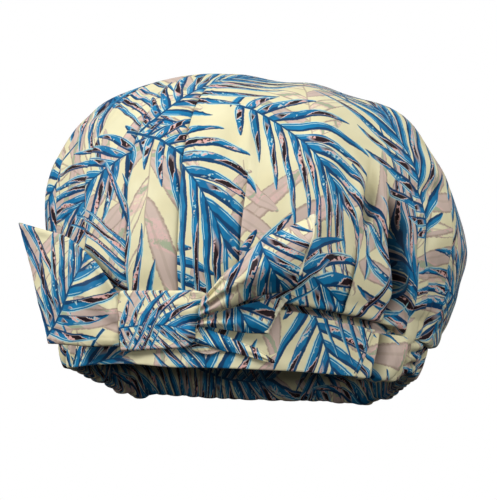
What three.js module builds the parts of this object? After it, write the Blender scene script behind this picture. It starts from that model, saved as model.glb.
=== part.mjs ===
// Bouffant shower cap with a flat front band, a gathered elastic casing round the sides and back, and a tied bow.
// Millimetres, +Z up through the crown, -Y is the front (bow) side, origin at the centre of the head opening on the hem plane.
import * as THREE from "three";
import { mergeVertices } from "three/addons/utils/BufferGeometryUtils.js";

// ---------------------------------------------------------------- driving dimensions
const HEM_A = 101; // half width of the hem outline, outside of the band
const HEM_B = 105; // half depth of the hem outline
const BAND_H = 33; // height of the front band at its middle
const BAND_END_H = 26.5; // and at its ends
// Angle of each slanted band end, degrees from the front: at the hem, and at the top.
const BAND_END = { right: [47, 54], left: [58, 50.5] };
const CLOTH = 1.2; // thickness of the doubled printed cloth of the band
const CASING_H = 19.2; // height of the elastic casing
const CASING_T = 6.4; // its thickness from outside to inside, elastic included
const CASING_START = { right: 57.5, left: 61.5 }; // angle where the casing begins, degrees from the front
const ELASTIC_W = 11; // elastic band, width
const ELASTIC_T = 1.6; // and thickness
const CROWN_CX = 0; // the crown's centre, pushed back from the hem's centre
const CROWN_CY = 12;
const CROWN_T = 0.9; // crown cloth
const LINING_T = 0.5; // waterproof lining
const PLEATS = [-58, -42, -25.3, -9.3, 7.6]; // front knife pleats whose right panel lies on top, degrees
const SIDE_PLEATS = [63.3, 82.6]; // pleats at the right side whose left panel lies on top
const PLEAT_STEP = 2.6; // how far one pleat stands over the next panel
const VALLEY = 54; // the deep fold at the right band end, degrees
const VALLEY_DEPTH = 9;
const GATHER = 1.7; // half height of the gathers at the casing

// Profile curves of the crown, each from the apex outwards and down: [distance from the crown's axis, height]
const RIGHT = [[0, 178], [24, 177.4], [41, 174.2], [53, 169.6], [73, 160.8], [91, 147.4], [102, 131], [110.2, 116.6], [116.4, 97.6], [119, 82.4], [118.6, 73.9], [116.8, 62.4], [115, 50.9], [112, 41], [108, 34]];
const LEFT = [[0, 178], [16, 177.6], [33, 175.6], [47.5, 172.6], [61.6, 168], [73.6, 163.4], [87, 157], [97, 150.6], [106, 141.4], [111.4, 132], [115.4, 121], [117.2, 112], [117.6, 100], [115.4, 82], [112.8, 62], [109.6, 47], [105.6, 36]];
const FRONT = [[0, 178], [28, 176.6], [54, 170.5], [77, 158.5], [95, 143], [108, 124], [117, 103], [122, 84], [123.4, 68], [122.4, 54], [119.8, 43]];
const BACK = [[0, 178], [30, 176.4], [58, 169.6], [82, 156.5], [101, 139], [113.5, 118], [120.5, 97], [123, 78], [122, 60], [118, 44], [110, 31]];

const D = Math.PI / 180;
const clamp = (v, a, b) => Math.min(b, Math.max(a, v));
const smooth = (a, b, v) => {
  const k = clamp((v - a) / (b - a), 0, 1);
  return k * k * (3 - 2 * k);
};
const lerp = (a, b, k) => a + (b - a) * k;

// A point on the hem outline at angle t (radians from the front, + to +X), moved outwards by off.
function hem(t, off) {
  const nx = Math.sin(t) / HEM_A,
    ny = -Math.cos(t) / HEM_B,
    n = Math.hypot(nx, ny);
  return [HEM_A * Math.sin(t) + (off * nx) / n, -HEM_B * Math.cos(t) + (off * ny) / n];
}
const bandHeight = (t) => lerp(BAND_H, BAND_END_H, smooth(14, 57, Math.abs(t) / D));
// The hem is highest at the sides of the head, where the elastic draws it up, and a little up at the band's left end.
function lift(deg) {
  const d = ((deg + 540) % 360) - 180,
    away = Math.abs(d);
  return d < 0
    ? 2.6 * smooth(8, 34, away) * (1 - smooth(92, 138, away)) + 4.2 * smooth(56, 84, away) * (1 - smooth(84, 122, away))
    : 7.4 * smooth(60, 88, away) * (1 - smooth(102, 146, away));
}
// The casing is taller next to the band, and its lower edge turns in at the sides.
const casingHeight = (deg) => {
  const d = ((deg + 540) % 360) - 180;
  return lerp(d < 0 ? 22.6 : 25.4, CASING_H, smooth(60, 88, Math.abs(d)));
};
const turnIn = (deg) => {
  const away = Math.abs(((deg + 540) % 360) - 180);
  return 3.4 * smooth(60, 74, away) * (1 - smooth(112, 150, away));
};
// The crown's edge clears the casing, and more so at the left rear, where the casing slides along a falling edge as it stretches.
const crownRim = (t) => {
  const away = Math.abs(t) / D,
    slack = t < 0 ? 1.8 * smooth(84, 93, away) * (1 - smooth(124, 138, away)) : 0;
  return lerp(bandHeight(t) + 0.6, casingHeight(t / D) + lift(t / D) + 1.3 + slack, smooth(58.5, 66, away));
};

// ---------------------------------------------------------------- helpers that make one closed mesh
const parts = new THREE.Group();

function add(name, geometry, material) {
  const mesh = new THREE.Mesh(turned(geometry), material);
  mesh.name = name;
  parts.add(mesh);
  return mesh;
}

// Moves each vertex of a geometry by a function of its place.
function mapped(geometry, place) {
  geometry.deleteAttribute("normal");
  geometry.deleteAttribute("uv");
  const g = mergeVertices(geometry, 1e-5);
  const p = g.attributes.position;
  for (let i = 0; i < p.count; i++) {
    const v = place(p.getX(i), p.getY(i), p.getZ(i));
    p.setXYZ(i, v[0], v[1], v[2]);
  }
  g.computeVertexNormals();
  return g;
}

// Turns the faces round where they point inwards.
function turned(g) {
  const p = g.attributes.position,
    x = g.index.array;
  let v = 0;
  for (let i = 0; i < x.length; i += 3) {
    const a = new THREE.Vector3().fromBufferAttribute(p, x[i]),
      b = new THREE.Vector3().fromBufferAttribute(p, x[i + 1]),
      c = new THREE.Vector3().fromBufferAttribute(p, x[i + 2]);
    v += a.dot(b.cross(c));
  }
  if (v < 0) for (let i = 0; i < x.length; i += 3) [x[i + 1], x[i + 2]] = [x[i + 2], x[i + 1]];
  return g;
}

// A bent bar: a box whose length follows u in 0..1, height v in 0..1 and thickness w in 0..1.
function bar(nu, nv, place, nw = 1) {
  return mapped(new THREE.BoxGeometry(1, 1, 1, nu, nv, nw), (x, y, z) => place(x + 0.5, y + 0.5, z + 0.5));
}

// ---------------------------------------------------------------- crown
const curve = (points) => new THREE.SplineCurve(points.map(([r, z]) => new THREE.Vector2(r, z)));
// The top sinks towards the right, where nothing fills the cap.
const sunk = (x, z) => z - (3.2 * smooth(-55, 5, x) + 3.0 * smooth(-5, 18, x) - 2.4 * smooth(20, 36, x) - 3.8 * smooth(62, 90, x)) * smooth(146, 172, z);
const CURVES = { right: curve(RIGHT), left: curve(LEFT), front: curve(FRONT), back: curve(BACK) };
const MAIN = 0.86; // share of the profile above the tuck

// How far the surface stands in or out of its plain shape: knife pleats in front, a deep fold, gathers behind.
const PLEAT_EDGE = 0.65; // half width of the step at a pleat's edge, degrees
function relief(deg, s) {
  let out = 0;
  const low = smooth(0.42, 0.72, s);
  // each panel starts high at its folded edge and slopes down under the next one
  for (let i = 0; i < PLEATS.length; i++) {
    const a = PLEATS[i],
      b = i + 1 < PLEATS.length ? PLEATS[i + 1] : a + 26;
    if (deg >= a && deg < b) out += low * PLEAT_STEP * lerp(0.5, i + 1 < PLEATS.length ? -0.5 : 0, (deg - a) / (b - a));
  }
  if (deg < PLEATS[0]) out -= low * PLEAT_STEP * 0.5 * smooth(PLEATS[0] - 12, PLEATS[0], deg);
  for (let i = 0; i < SIDE_PLEATS.length; i++) {
    const b = SIDE_PLEATS[i],
      a = i > 0 ? SIDE_PLEATS[i - 1] : b - 7;
    if (deg >= a && deg < b) out += low * PLEAT_STEP * lerp(i > 0 ? -0.5 : 0, 0.5, (deg - a) / (b - a));
  }
  const last = SIDE_PLEATS[SIDE_PLEATS.length - 1];
  if (deg >= last) out -= low * PLEAT_STEP * 0.5 * (1 - smooth(last, last + 14, deg));
  const dimple = (deg - 25) / 7;
  out -= 1.6 * smooth(0.35, 0.6, s) * (1 - smooth(0.7, 0.85, s)) * Math.exp(-dimple * dimple);
  const v = (deg - VALLEY) / 5.2;
  out -= VALLEY_DEPTH * smooth(0.42, 0.66, s) * (1 - 0.9 * smooth(0.7, MAIN, s)) * Math.exp(-v * v);
  const rear = smooth(84, 100, Math.abs(deg)) + smooth(62, 72, -deg) * (1 - smooth(84, 100, -deg));
  const wave = Math.sin(deg * 0.29 * (1 + 0.05 * Math.sin(deg * 0.05))) * Math.cos(deg * 0.11);
  out += rear * 2.2 * smooth(0.45, 0.8, s) * wave;
  return out;
}

function crownPoint(deg, s, inset) {
  const t = deg * D,
    sn = Math.sin(t),
    cs = Math.cos(t);
  const main = (u) => {
    const x = (sn >= 0 ? CURVES.right : CURVES.left).getPointAt(u),
      y = (cs >= 0 ? CURVES.front : CURVES.back).getPointAt(u);
    const r = relief(deg, u * MAIN);
    const px = CROWN_CX + (x.x + r) * sn;
    return [px, CROWN_CY - (y.x + r) * cs, sunk(px, x.y * sn * sn + y.y * cs * cs)];
  };
  const at = (q) => {
    if (q <= MAIN) return main(clamp(q / MAIN, 0, 1));
    const k = (q - MAIN) / (1 - MAIN);
    const m = main(1),
      rim = crownRim(t),
      rear = smooth(56, 68, Math.abs(deg));
    const off = lerp(-0.6, -CASING_T / 2, rear) + rear * 0;
    const e = hem(t, off);
    const c = [lerp(m[0], e[0], 0.12), lerp(m[1], e[1], 0.12), lerp(m[2], rim, 0.86)];
    const a = (1 - k) * (1 - k),
      b = 2 * k * (1 - k),
      d = k * k;
    return [a * m[0] + b * c[0] + d * e[0], a * m[1] + b * c[1] + d * e[1], a * m[2] + b * c[2] + d * rim];
  };
  const p = at(s);
  if (!inset) return p;
  // inwards along the profile's own normal
  const e = 0.01,
    p0 = at(Math.max(0, s - e)),
    p1 = at(Math.min(1, s + e));
  const dx = p1[0] - p0[0],
    dy = p1[1] - p0[1];
  let dr = dx * sn - dy * cs,
    dz = p1[2] - p0[2];
  if (s < 1e-6) {
    dr = 1;
    dz = 0;
  }
  const n = Math.hypot(dr, dz) || 1;
  const nr = -dz / n,
    nz = dr / n; // outward: right of the downward run
  return [p[0] - inset * nr * sn, p[1] + inset * nr * cs, p[2] - inset * nz];
}

// The angles of the crown's meridians: close together at the pleats, the deep fold and the gathers.
const ANGLES = [];
{
  const fixed = [46, 62, 100, -100, -76];
  for (const e of [...PLEATS, ...SIDE_PLEATS]) fixed.push(e - PLEAT_EDGE, e + PLEAT_EDGE);
  fixed.sort((p, q) => p - q);
  fixed.push(fixed[0] + 360);
  for (let i = 0; i + 1 < fixed.length; i++) {
    const a = fixed[i],
      b = fixed[i + 1],
      step = a >= 46 && b <= 62 ? 2.4 : 5.4,
      n = Math.max(1, Math.round((b - a) / step));
    for (let k = 0; k < n; k++) ANGLES.push(lerp(a, b, k / n));
  }
}
const WRAPPED = (deg) => (deg > 180 ? deg - 360 : deg);

// A dome with a wall: a flat ring profile turned by LatheGeometry, then laid on the crown's surface.
function dome(angles, rows, outer, wall) {
  const n = angles.length,
    m = rows.length - 1;
  const profile = [];
  for (let j = 0; j <= m; j++) profile.push(new THREE.Vector2(j, 0));
  for (let j = m; j >= 0; j--) profile.push(new THREE.Vector2(j, -1));
  const g = new THREE.LatheGeometry(profile, n);
  return mapped(g, (x, y, z) => {
    const rho = Math.round(Math.hypot(x, z) * 1e4) / 1e4;
    if (rho < 1e-3) return crownPoint(0, 0, y < -0.5 ? outer + wall : outer);
    let k = Math.round((Math.atan2(x, z) / (2 * Math.PI)) * n);
    k = ((k % n) + n) % n;
    return crownPoint(WRAPPED(angles[k]), rows[Math.round(rho)], y < -0.5 ? outer + wall : outer);
  });
}
const CROWN_ROWS = [0, 0.12, 0.24, 0.36, 0.47, 0.57, 0.66, 0.74, 0.81, 0.86, 0.9, 0.945, 0.98, 1];
const LINING_ROWS = [0, 0.2, 0.38, 0.54, 0.68, 0.8, 0.86, 0.9];
const LINING_ANGLES = [];
for (let a = -56; a < 304 - 1; a += 9) LINING_ANGLES.push(a);

const print = (name) => new THREE.MeshStandardMaterial({ name, color: 0xd9d6b0, roughness: 0.62, metalness: 0 });
const plain = (name, color, roughness = 0.8) => new THREE.MeshStandardMaterial({ name, color, roughness, metalness: 0 });

add("crown_shell", dome(ANGLES, CROWN_ROWS, 0, CROWN_T), print("crown cloth"));

// The waterproof lining hangs a little inside the crown, clear of its pleats and folds.
function liningPoint(deg, q, inset) {
  const t = deg * D,
    sn = Math.sin(t),
    cs = Math.cos(t);
  const u = q;
  const x = (sn >= 0 ? CURVES.right : CURVES.left).getPointAt(u),
    y = (cs >= 0 ? CURVES.front : CURVES.back).getPointAt(u);
  const v = (deg - VALLEY) / 9;
  const drop = 3.4 + inset + 3.2 * smooth(0.3, 0.8, u) + VALLEY_DEPTH * 1.05 * smooth(0.45, 0.75, u) * Math.exp(-v * v);
  const z = x.y * sn * sn + y.y * cs * cs;
  const up = 1 - smooth(0.1, 0.75, u);
  const px = CROWN_CX + Math.max(0, x.x - drop * (1 - up * 0.6)) * sn;
  return [px, CROWN_CY - Math.max(0, y.x - drop * (1 - up * 0.6)) * cs, sunk(px, z) - drop * up];
}
{
  const n = LINING_ANGLES.length,
    rows = [0, 0.16, 0.32, 0.46, 0.6, 0.74, 0.87, 1],
    m = rows.length - 1;
  const profile = [];
  for (let j = 0; j <= m; j++) profile.push(new THREE.Vector2(j, 0));
  for (let j = m; j >= 0; j--) profile.push(new THREE.Vector2(j, -1));
  const g = mapped(new THREE.LatheGeometry(profile, n), (x, y, z) => {
    const rho = Math.hypot(x, z);
    const inset = y < -0.5 ? LINING_T : 0;
    if (rho < 1e-3) return liningPoint(0, 0, inset);
    let k = Math.round((Math.atan2(x, z) / (2 * Math.PI)) * n);
    k = ((k % n) + n) % n;
    return liningPoint(WRAPPED(LINING_ANGLES[k]), rows[Math.round(rho)], inset);
  });
  add("crown_lining", g, plain("waterproof lining", 0x2c2f34, 0.35));
}

// ---------------------------------------------------------------- front band: outer cloth, stiffening, inner facing
function bandLayer(outside, thickness, low, highDrop, trim, nu = 26, nv = 4) {
  return bar(nu, nv, (u, v, w) => {
    const t = lerp(trim - lerp(...BAND_END.left, v), lerp(...BAND_END.right, v) - trim, u) * D;
    const z = lerp(low + lift(t / D), bandHeight(t) - highDrop, v);
    const p = hem(t, outside - thickness * (1 - w));
    return [p[0], p[1], z];
  });
}
add("front_band_outer", bandLayer(0, CLOTH, 0, 0, 0), print("band cloth"));
add("front_band_stiffener", bandLayer(-CLOTH - 0.4, 0.8, 1.2, 1.2, 0.6), plain("stiffener", 0xf0efe9, 0.9));
add("front_band_facing", bandLayer(-CLOTH - 1.6, 0.9, 0.5, 1.0, 0.3), print("facing cloth"));

// Seam tape over the crown-to-band seam, on the inside
add(
  "band_seam_tape",
  bar(28, 1, (u, v, w) => {
    const t = lerp(-49.5, 52, u) * D;
    const z = lerp(bandHeight(t) - 8, bandHeight(t) - 0.8, v);
    const p = hem(t, -CLOTH - 3.0 - 0.6 * (1 - w));
    return [p[0], p[1], z];
  }),
  plain("seam tape", 0xe8e4d4, 0.85)
);

// ---------------------------------------------------------------- elastic casing, open at both ends
const gather = (deg) => Math.sin(deg * 0.62) * 0.7 + Math.sin(deg * 0.37 + 1) * 0.3;
{
  const steps = 64,
    w = CASING_T,
    h = CASING_H,
    wall = 1.0;
  const shape = new THREE.Shape([
    [0.0, 1.6], [1.4, 0], [w - 1.4, 0], [w, 1.6], [w, h - 1.6], [w - 1.4, h], [1.4, h], [0, h - 1.6],
  ].map(([x, y]) => new THREE.Vector2(x, y)));
  shape.holes.push(new THREE.Path([
    [wall, 2.6], [wall, h - 2.6], [2.0, h - wall], [w - 2.0, h - wall], [w - wall, h - 2.6], [w - wall, 2.6], [w - 2.0, wall], [2.0, wall],
  ].map(([x, y]) => new THREE.Vector2(x, y))));
  const g = new THREE.ExtrudeGeometry(shape, { depth: 1, steps, bevelEnabled: false });
  const place = (x, y, z) => {
    const deg = lerp(CASING_START.right, 360 - CASING_START.left, z);
    const t = deg * D;
    const edge = smooth(0, 0.03, z) * smooth(1, 0.97, z);
    const outer = x > w / 2 ? GATHER * gather(deg) * edge : 0;
    const inner = x < w / 2 ? 0.5 * gather(deg + 3) * edge : 0;
    const scallop = y < h / 2 ? 0.6 * edge * (0.5 + 0.5 * Math.sin(deg * 0.9)) : 0;
    const p = hem(t, x - w + outer * 0.7 + inner - turnIn(deg) * (1 - y / h));
    return [p[0], p[1], (y * casingHeight(deg)) / h + scallop + lift(deg)];
  };
  const made = mapped(g, place);
  add("elastic_casing", made, print("casing cloth"));
}
add(
  "elastic_band",
  bar(52, 1, (u, v, w) => {
    const deg = lerp(CASING_START.right + 0.2, 359.8 - CASING_START.left, u);
    const h = casingHeight(deg),
      y = h / 2 + ELASTIC_W * (v - 0.5) + 0.3;
    const p = hem(deg * D, -CASING_T / 2 + ELASTIC_T * (w - 0.5) - turnIn(deg) * (1 - y / h));
    return [p[0], p[1], y + lift(deg)];
  }),
  plain("knitted elastic", 0xf2f1ec, 0.85)
);
// A seam's thread: one bar that lies on the cloth along a path and stands up at each stitch.
function thread(n, path, width, low, high) {
  return bar(n * 4, 1, (u, v, w) => {
    const { at, side, out } = path(u);
    const k = w * lerp(low, high, Math.abs(Math.sin(Math.PI * n * u)));
    return [0, 1, 2].map((i) => at[i] + side[i] * width * (v - 0.5) + out[i] * k);
  });
}
// Line of stitches along the slanted band end
function endStitches(side) {
  return thread(7, (u) => {
    const v = lerp(0.06, 0.94, u);
    const t = side * (lerp(...(side > 0 ? BAND_END.right : BAND_END.left), v) - 1.4) * D;
    const p = hem(t, 0.35),
      q = hem(t, 1.35);
    return { at: [p[0], p[1], lerp(lift(t / D), bandHeight(t), v)], side: [q[1] - p[1], p[0] - q[0], 0].map((x) => -x), out: [q[0] - p[0], q[1] - p[1], 0] };
  }, 0.55, 0.15, 0.5);
}
add("band_end_stitches_left", endStitches(-1), plain("thread", 0x2f6f95, 0.6));
add("band_end_stitches_right", endStitches(1), plain("thread", 0x2f6f95, 0.6));
// Bar tack that closes the casing's mouth and holds the end of the elastic, in the gap between band and casing
function barTack(side) {
  const t = side * ((side > 0 ? CASING_START.right : CASING_START.left) - 1) * D;
  const p = hem(t, -CASING_T / 2),
    q = hem(t, 1 - CASING_T / 2),
    out = [q[0] - p[0], q[1] - p[1], 0],
    along = [-out[1], out[0], 0];
  return bar(1, 20, (u, v, w) => {
    const k = 2.2 * (w - 0.5) * (1 + 0.35 * Math.sin(v * 20 * Math.PI * 0.5));
    return [p[0] + along[0] * 0.7 * (u - 0.5) + out[0] * k, p[1] + along[1] * 0.7 * (u - 0.5) + out[1] * k, CASING_H / 2 + 0.3 + 10 * (v - 0.5)];
  });
}
add("elastic_bar_tack_left", barTack(-1), plain("thread", 0xe9e6da, 0.6));
add("elastic_bar_tack_right", barTack(1), plain("thread", 0xe9e6da, 0.6));

// ---------------------------------------------------------------- bow
// A patch of cloth with four corner curves: top and bottom edges as point rows, thickness along a given way.
function patch(top, bottom, half, nu, nv) {
  const T = new THREE.CatmullRomCurve3(top.map((p) => new THREE.Vector3(...p))),
    B = new THREE.CatmullRomCurve3(bottom.map((p) => new THREE.Vector3(...p)));
  const mid = (u, v) => {
    const a = T.getPointAt(u),
      b = B.getPointAt(u);
    return b.clone().lerp(a, v);
  };
  return turned(bar(nu, nv, (u, v, w) => {
    const p = mid(u, v),
      e = 0.02;
    const du = mid(Math.min(1, u + e), v).sub(mid(Math.max(0, u - e), v)),
      dv = mid(u, Math.min(1, v + e)).sub(mid(u, Math.max(0, v - e)));
    const n = du.cross(dv).normalize();
    if (n.y > 0) n.negate(); // towards the front
    const k = half(u, v) * (w - 0.5) * 2 + (half.shift ? half.shift(u, v) : 0);
    return [p.x + n.x * k, p.y + n.y * k, p.z + n.z * k];
  }));
}
const puff = (base, crown) => (u, v) => base + crown * Math.sin(Math.PI * clamp(u, 0.03, 0.97)) * Math.sin(Math.PI * v);

// Left tail: flares from the wrap's left edge to its slanted end, standing off the crown
add(
  "bow_tail_left",
  patch(
    [[-53.2, -102.5, 39.7], [-58.5, -101.5, 48.3], [-65.5, -99, 56], [-81.4, -92, 68.5], [-97.1, -85.5, 74.1], [-111.4, -80, 77.9]],
    [[-52.4, -99.5, 11.8], [-58.3, -98, 11.7], [-67.2, -95, 11.7], [-79.1, -91, 12.4], [-85.2, -88.5, 12.8], [-91.3, -86, 13.1]],
    puff(1.0, 1.4), 12, 6
  ),
  print("bow cloth")
);
// Wide flat wrap of the bow, which lies across the band and holds the tails, the wing and the strap in its middle
add(
  "bow_wrap",
  patch(
    [[-51, -99.6, 39.5], [-39.3, -103.5, 39.6], [-27.7, -107, 39.6], [-15.8, -110.4, 39.5], [-8.4, -112.4, 39.5], [-2, -112.8, 37.8]],
    [[-46.4, -97, 9.3], [-37, -100.5, 9.7], [-27.2, -103.8, 10.2], [-15.4, -107.8, 10.5], [-9.6, -109.4, 11.2], [-5, -110.2, 13.6]],
    puff(1.2, 0.7), 14, 6
  ),
  print("bow cloth")
);
// Right wing: a rounded cone of cloth that opens up and to the right
add(
  "bow_wing_right",
  patch(
    [[-0.3, -115.6, 38.6], [9.1, -120, 49], [17.3, -122.5, 54.7], [28.8, -123.6, 66.3], [40.6, -122.4, 72.4], [48.1, -120, 76.6], [53.8, -117, 79.3]],
    [[-0.2, -114.4, 28.4], [7.3, -115.4, 31], [14.4, -116.4, 33.8], [22.5, -117.2, 37.4], [30.4, -117.4, 39.7], [40.8, -117, 41.8], [48.6, -116.5, 45.9]],
    puff(1.6, 3.6), 12, 7
  ),
  print("bow cloth")
);
// Lower right tail: in the wing's shade, with a turned hem at its end
add(
  "bow_tail_right",
  patch(
    [[-1.4, -109.8, 26], [6.6, -110.4, 28.8], [16.2, -111, 31.6], [27.8, -111, 34.6], [38.3, -110.6, 36.4]],
    [[-1.6, -109.4, 22.6], [4.5, -109.2, 21.5], [11.9, -109.2, 20.2], [20.4, -109, 19.2], [28.2, -108.4, 19.1]],
    puff(1.1, 1.0), 9, 5
  ),
  print("bow cloth")
);
add(
  "bow_tail_right_hem",
  patch(
    [[39, -110.6, 36.3], [41.4, -110.4, 34.8]],
    [[28.9, -108.3, 19.1], [31.2, -108.2, 19.7]],
    puff(1.5, 0), 2, 5
  ),
  plain("hem turned to the pale side", 0xe6e0b8, 0.7)
);
// Narrow strap from under the wrap, tucked in at the band
add(
  "bow_strap",
  patch(
    [[-1.2, -106.6, 19.4], [8.2, -106, 17], [17.8, -104.9, 14.6], [27.6, -102.7, 12.2]],
    [[-1.2, -106.5, 11.6], [8.5, -105.9, 9.6], [18, -104.7, 7.8], [27.9, -102.6, 6.1]],
    puff(0.6, 0.2), 8, 2
  ),
  print("bow cloth")
);
// Thread that tacks the wrap to the band, in the gap behind the wrap, and the strap's own tack
add(
  "wrap_tack_thread",
  thread(4, (u) => ({ at: [-36, -98.6, lerp(19, 31, u)], side: [0.93, -0.37, 0], out: [-0.37, -0.93, 0] }), 1.1, 0.7, 1.1),
  plain("thread", 0x2f6f95, 0.6)
);
add(
  "strap_tack_thread",
  thread(3, (u) => ({ at: [25.2, -104.3, lerp(7.6, 11.4, u)], side: [0.97, 0.22, 0], out: [0.22, -0.97, 0] }), 0.6, 0.15, 0.5),
  plain("thread", 0x2f6f95, 0.6)
);

export default parts;
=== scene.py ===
import math

import bpy
import numpy as np
from mathutils import Matrix, Vector


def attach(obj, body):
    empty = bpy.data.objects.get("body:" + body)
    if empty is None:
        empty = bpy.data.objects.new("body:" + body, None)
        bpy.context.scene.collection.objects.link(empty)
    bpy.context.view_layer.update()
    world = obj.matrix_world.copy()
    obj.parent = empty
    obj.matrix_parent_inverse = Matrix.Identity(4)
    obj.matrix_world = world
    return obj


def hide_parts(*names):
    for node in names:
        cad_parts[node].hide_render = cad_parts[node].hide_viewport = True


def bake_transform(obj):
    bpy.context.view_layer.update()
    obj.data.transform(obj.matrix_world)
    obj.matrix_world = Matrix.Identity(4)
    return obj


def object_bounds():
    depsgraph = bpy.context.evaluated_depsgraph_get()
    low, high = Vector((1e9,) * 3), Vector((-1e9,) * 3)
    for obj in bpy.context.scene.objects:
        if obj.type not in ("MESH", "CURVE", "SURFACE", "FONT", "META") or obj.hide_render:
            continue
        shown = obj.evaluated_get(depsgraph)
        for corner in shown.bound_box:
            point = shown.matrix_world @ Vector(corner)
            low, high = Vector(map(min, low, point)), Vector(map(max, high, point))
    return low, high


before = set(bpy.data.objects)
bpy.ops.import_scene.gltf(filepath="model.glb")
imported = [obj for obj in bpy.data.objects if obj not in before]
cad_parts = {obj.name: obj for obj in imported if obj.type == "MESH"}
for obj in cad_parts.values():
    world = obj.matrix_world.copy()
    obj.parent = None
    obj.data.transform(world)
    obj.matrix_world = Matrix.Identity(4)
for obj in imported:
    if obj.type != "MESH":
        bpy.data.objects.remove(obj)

CAD_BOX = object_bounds()
CAD_BOX = (list(CAD_BOX[0]), list(CAD_BOX[1]))
MM = 0.001
DEG = math.pi / 180
scene = bpy.context.scene

# ---------------------------------------------------------------- camera (first, in the row frame)
cam_data = bpy.data.cameras.new("camera")
cam = bpy.data.objects.new("camera", cam_data)
scene.collection.objects.link(cam)
right = Vector((0.984894, 0.168913, 0.038102)).normalized()
up = Vector((-0.016658, -0.126595, 0.991815))
up = (up - right * up.dot(right)).normalized()
back = right.cross(up)
cam.matrix_world = Matrix(
    (
        (right.x, up.x, back.x, 0.312011),
        (right.y, up.y, back.y, -1.768491),
        (right.z, up.z, back.z, -0.144266),
        (0, 0, 0, 1),
    )
)
cam_data.sensor_width = 36
cam_data.lens = 231.43
cam_data.clip_start, cam_data.clip_end = 0.05, 50
scene.camera = cam

# ---------------------------------------------------------------- driving sizes, as in the CAD model, in mm
HEM_A, HEM_B = 101, 105
BAND_H, BAND_END_H = 33, 26.5
BAND_END = {"right": (47, 54), "left": (58, 50.5)}
CLOTH = 1.2
CASING_H, CASING_T = 19.2, 6.4
CASING_START = {"right": 57.5, "left": 61.5}
CROWN_CY = 12
MAIN = 0.86
VALLEY = 54
RIGHT = [[0, 178], [24, 177.4], [41, 174.2], [53, 169.6], [73, 160.8], [91, 147.4], [102, 131], [110.2, 116.6], [116.4, 97.6], [119, 82.4], [118.6, 73.9], [116.8, 62.4], [115, 50.9], [112, 41], [108, 34]]
LEFT = [[0, 178], [16, 177.6], [33, 175.6], [47.5, 172.6], [61.6, 168], [73.6, 163.4], [87, 157], [97, 150.6], [106, 141.4], [111.4, 132], [115.4, 121], [117.2, 112], [117.6, 100], [115.4, 82], [112.8, 62], [109.6, 47], [105.6, 36]]
FRONT = [[0, 178], [28, 176.6], [54, 170.5], [77, 158.5], [95, 143], [108, 124], [117, 103], [122, 84], [123.4, 68], [122.4, 54], [119.8, 43]]
BACK = [[0, 178], [30, 176.4], [58, 169.6], [82, 156.5], [101, 139], [113.5, 118], [120.5, 97], [123, 78], [122, 60], [118, 44], [110, 31]]


def smooth(a, b, v):
    k = np.clip((np.asarray(v, float) - a) / (b - a), 0, 1)
    return k * k * (3 - 2 * k)


def lerp(a, b, k):
    return a + (b - a) * k


def wave(seed, n, lo, hi):
    """A smooth random function of two numbers, made of n seeded plane waves between the two wavelengths; its size is about 1."""
    r = np.random.default_rng(seed)
    length = np.exp(r.uniform(math.log(lo), math.log(hi), n))
    angle = r.uniform(0, 2 * math.pi, n)
    phase = r.uniform(0, 2 * math.pi, n)
    kx, ky = 2 * math.pi * np.cos(angle) / length, 2 * math.pi * np.sin(angle) / length

    def f(x, y):
        x, y = np.asarray(x, float), np.asarray(y, float)
        out = np.zeros(np.broadcast(x, y).shape)
        for i in range(n):
            out += np.sin(kx[i] * x + ky[i] * y + phase[i])
        return out / math.sqrt(n / 2)

    return f


class Profile:
    """A smooth curve through points, read by its share of length."""

    def __init__(self, points):
        p = np.array(points, float)
        n = len(p)
        t = np.linspace(0, 1, 3001)
        q = (n - 1) * t
        i = np.minimum(np.floor(q).astype(int), n - 1)
        w = (q - i)[:, None]
        p0, p1 = p[np.where(i == 0, i, i - 1)], p[i]
        p2, p3 = p[np.where(i > n - 2, n - 1, i + 1)], p[np.where(i > n - 3, n - 1, i + 2)]
        v0, v1 = (p2 - p0) * 0.5, (p3 - p1) * 0.5
        x = (2 * p1 - 2 * p2 + v0 + v1) * w**3 + (-3 * p1 + 3 * p2 - 2 * v0 - v1) * w**2 + v0 * w + p1
        s = np.r_[0, np.cumsum(np.linalg.norm(np.diff(x, axis=0), axis=1))]
        self.length, self.s, self.x = s[-1], s / s[-1], x

    def at(self, u):
        return [np.interp(u, self.s, self.x[:, k]) for k in range(self.x.shape[1])]


P_RIGHT, P_LEFT, P_FRONT, P_BACK = Profile(RIGHT), Profile(LEFT), Profile(FRONT), Profile(BACK)


def hem(t, off):
    """A point on the hem outline at angle t, in radians from the front, moved out by off."""
    nx, ny = np.sin(t) / HEM_A, -np.cos(t) / HEM_B
    n = np.hypot(nx, ny)
    return HEM_A * np.sin(t) + off * nx / n, -HEM_B * np.cos(t) + off * ny / n


def band_height(t):
    return lerp(BAND_H, BAND_END_H, smooth(14, 57, np.abs(t) / DEG))


def deg_wrap(deg):
    return (np.asarray(deg, float) + 180) % 360 - 180


def lift(deg):
    """How far the hem is drawn up at an angle."""
    d = deg_wrap(deg)
    away = np.abs(d)
    left = 2.6 * smooth(8, 34, away) * (1 - smooth(92, 138, away)) + 4.2 * smooth(56, 84, away) * (1 - smooth(84, 122, away))
    return np.where(d < 0, left, 7.4 * smooth(60, 88, away) * (1 - smooth(102, 146, away)))


def casing_height(deg):
    d = deg_wrap(deg)
    return lerp(np.where(d < 0, 22.6, 25.4), CASING_H, smooth(60, 88, np.abs(d)))


def turn_in(deg):
    away = np.abs(deg_wrap(deg))
    return 3.4 * smooth(60, 74, away) * (1 - smooth(112, 150, away))


def sunk(x, z):
    """The top sinks towards the right."""
    return z - (3.2 * smooth(-55, 5, x) + 3.0 * smooth(-5, 18, x) - 2.4 * smooth(20, 36, x) - 3.8 * smooth(62, 90, x)) * smooth(146, 172, z)


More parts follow.
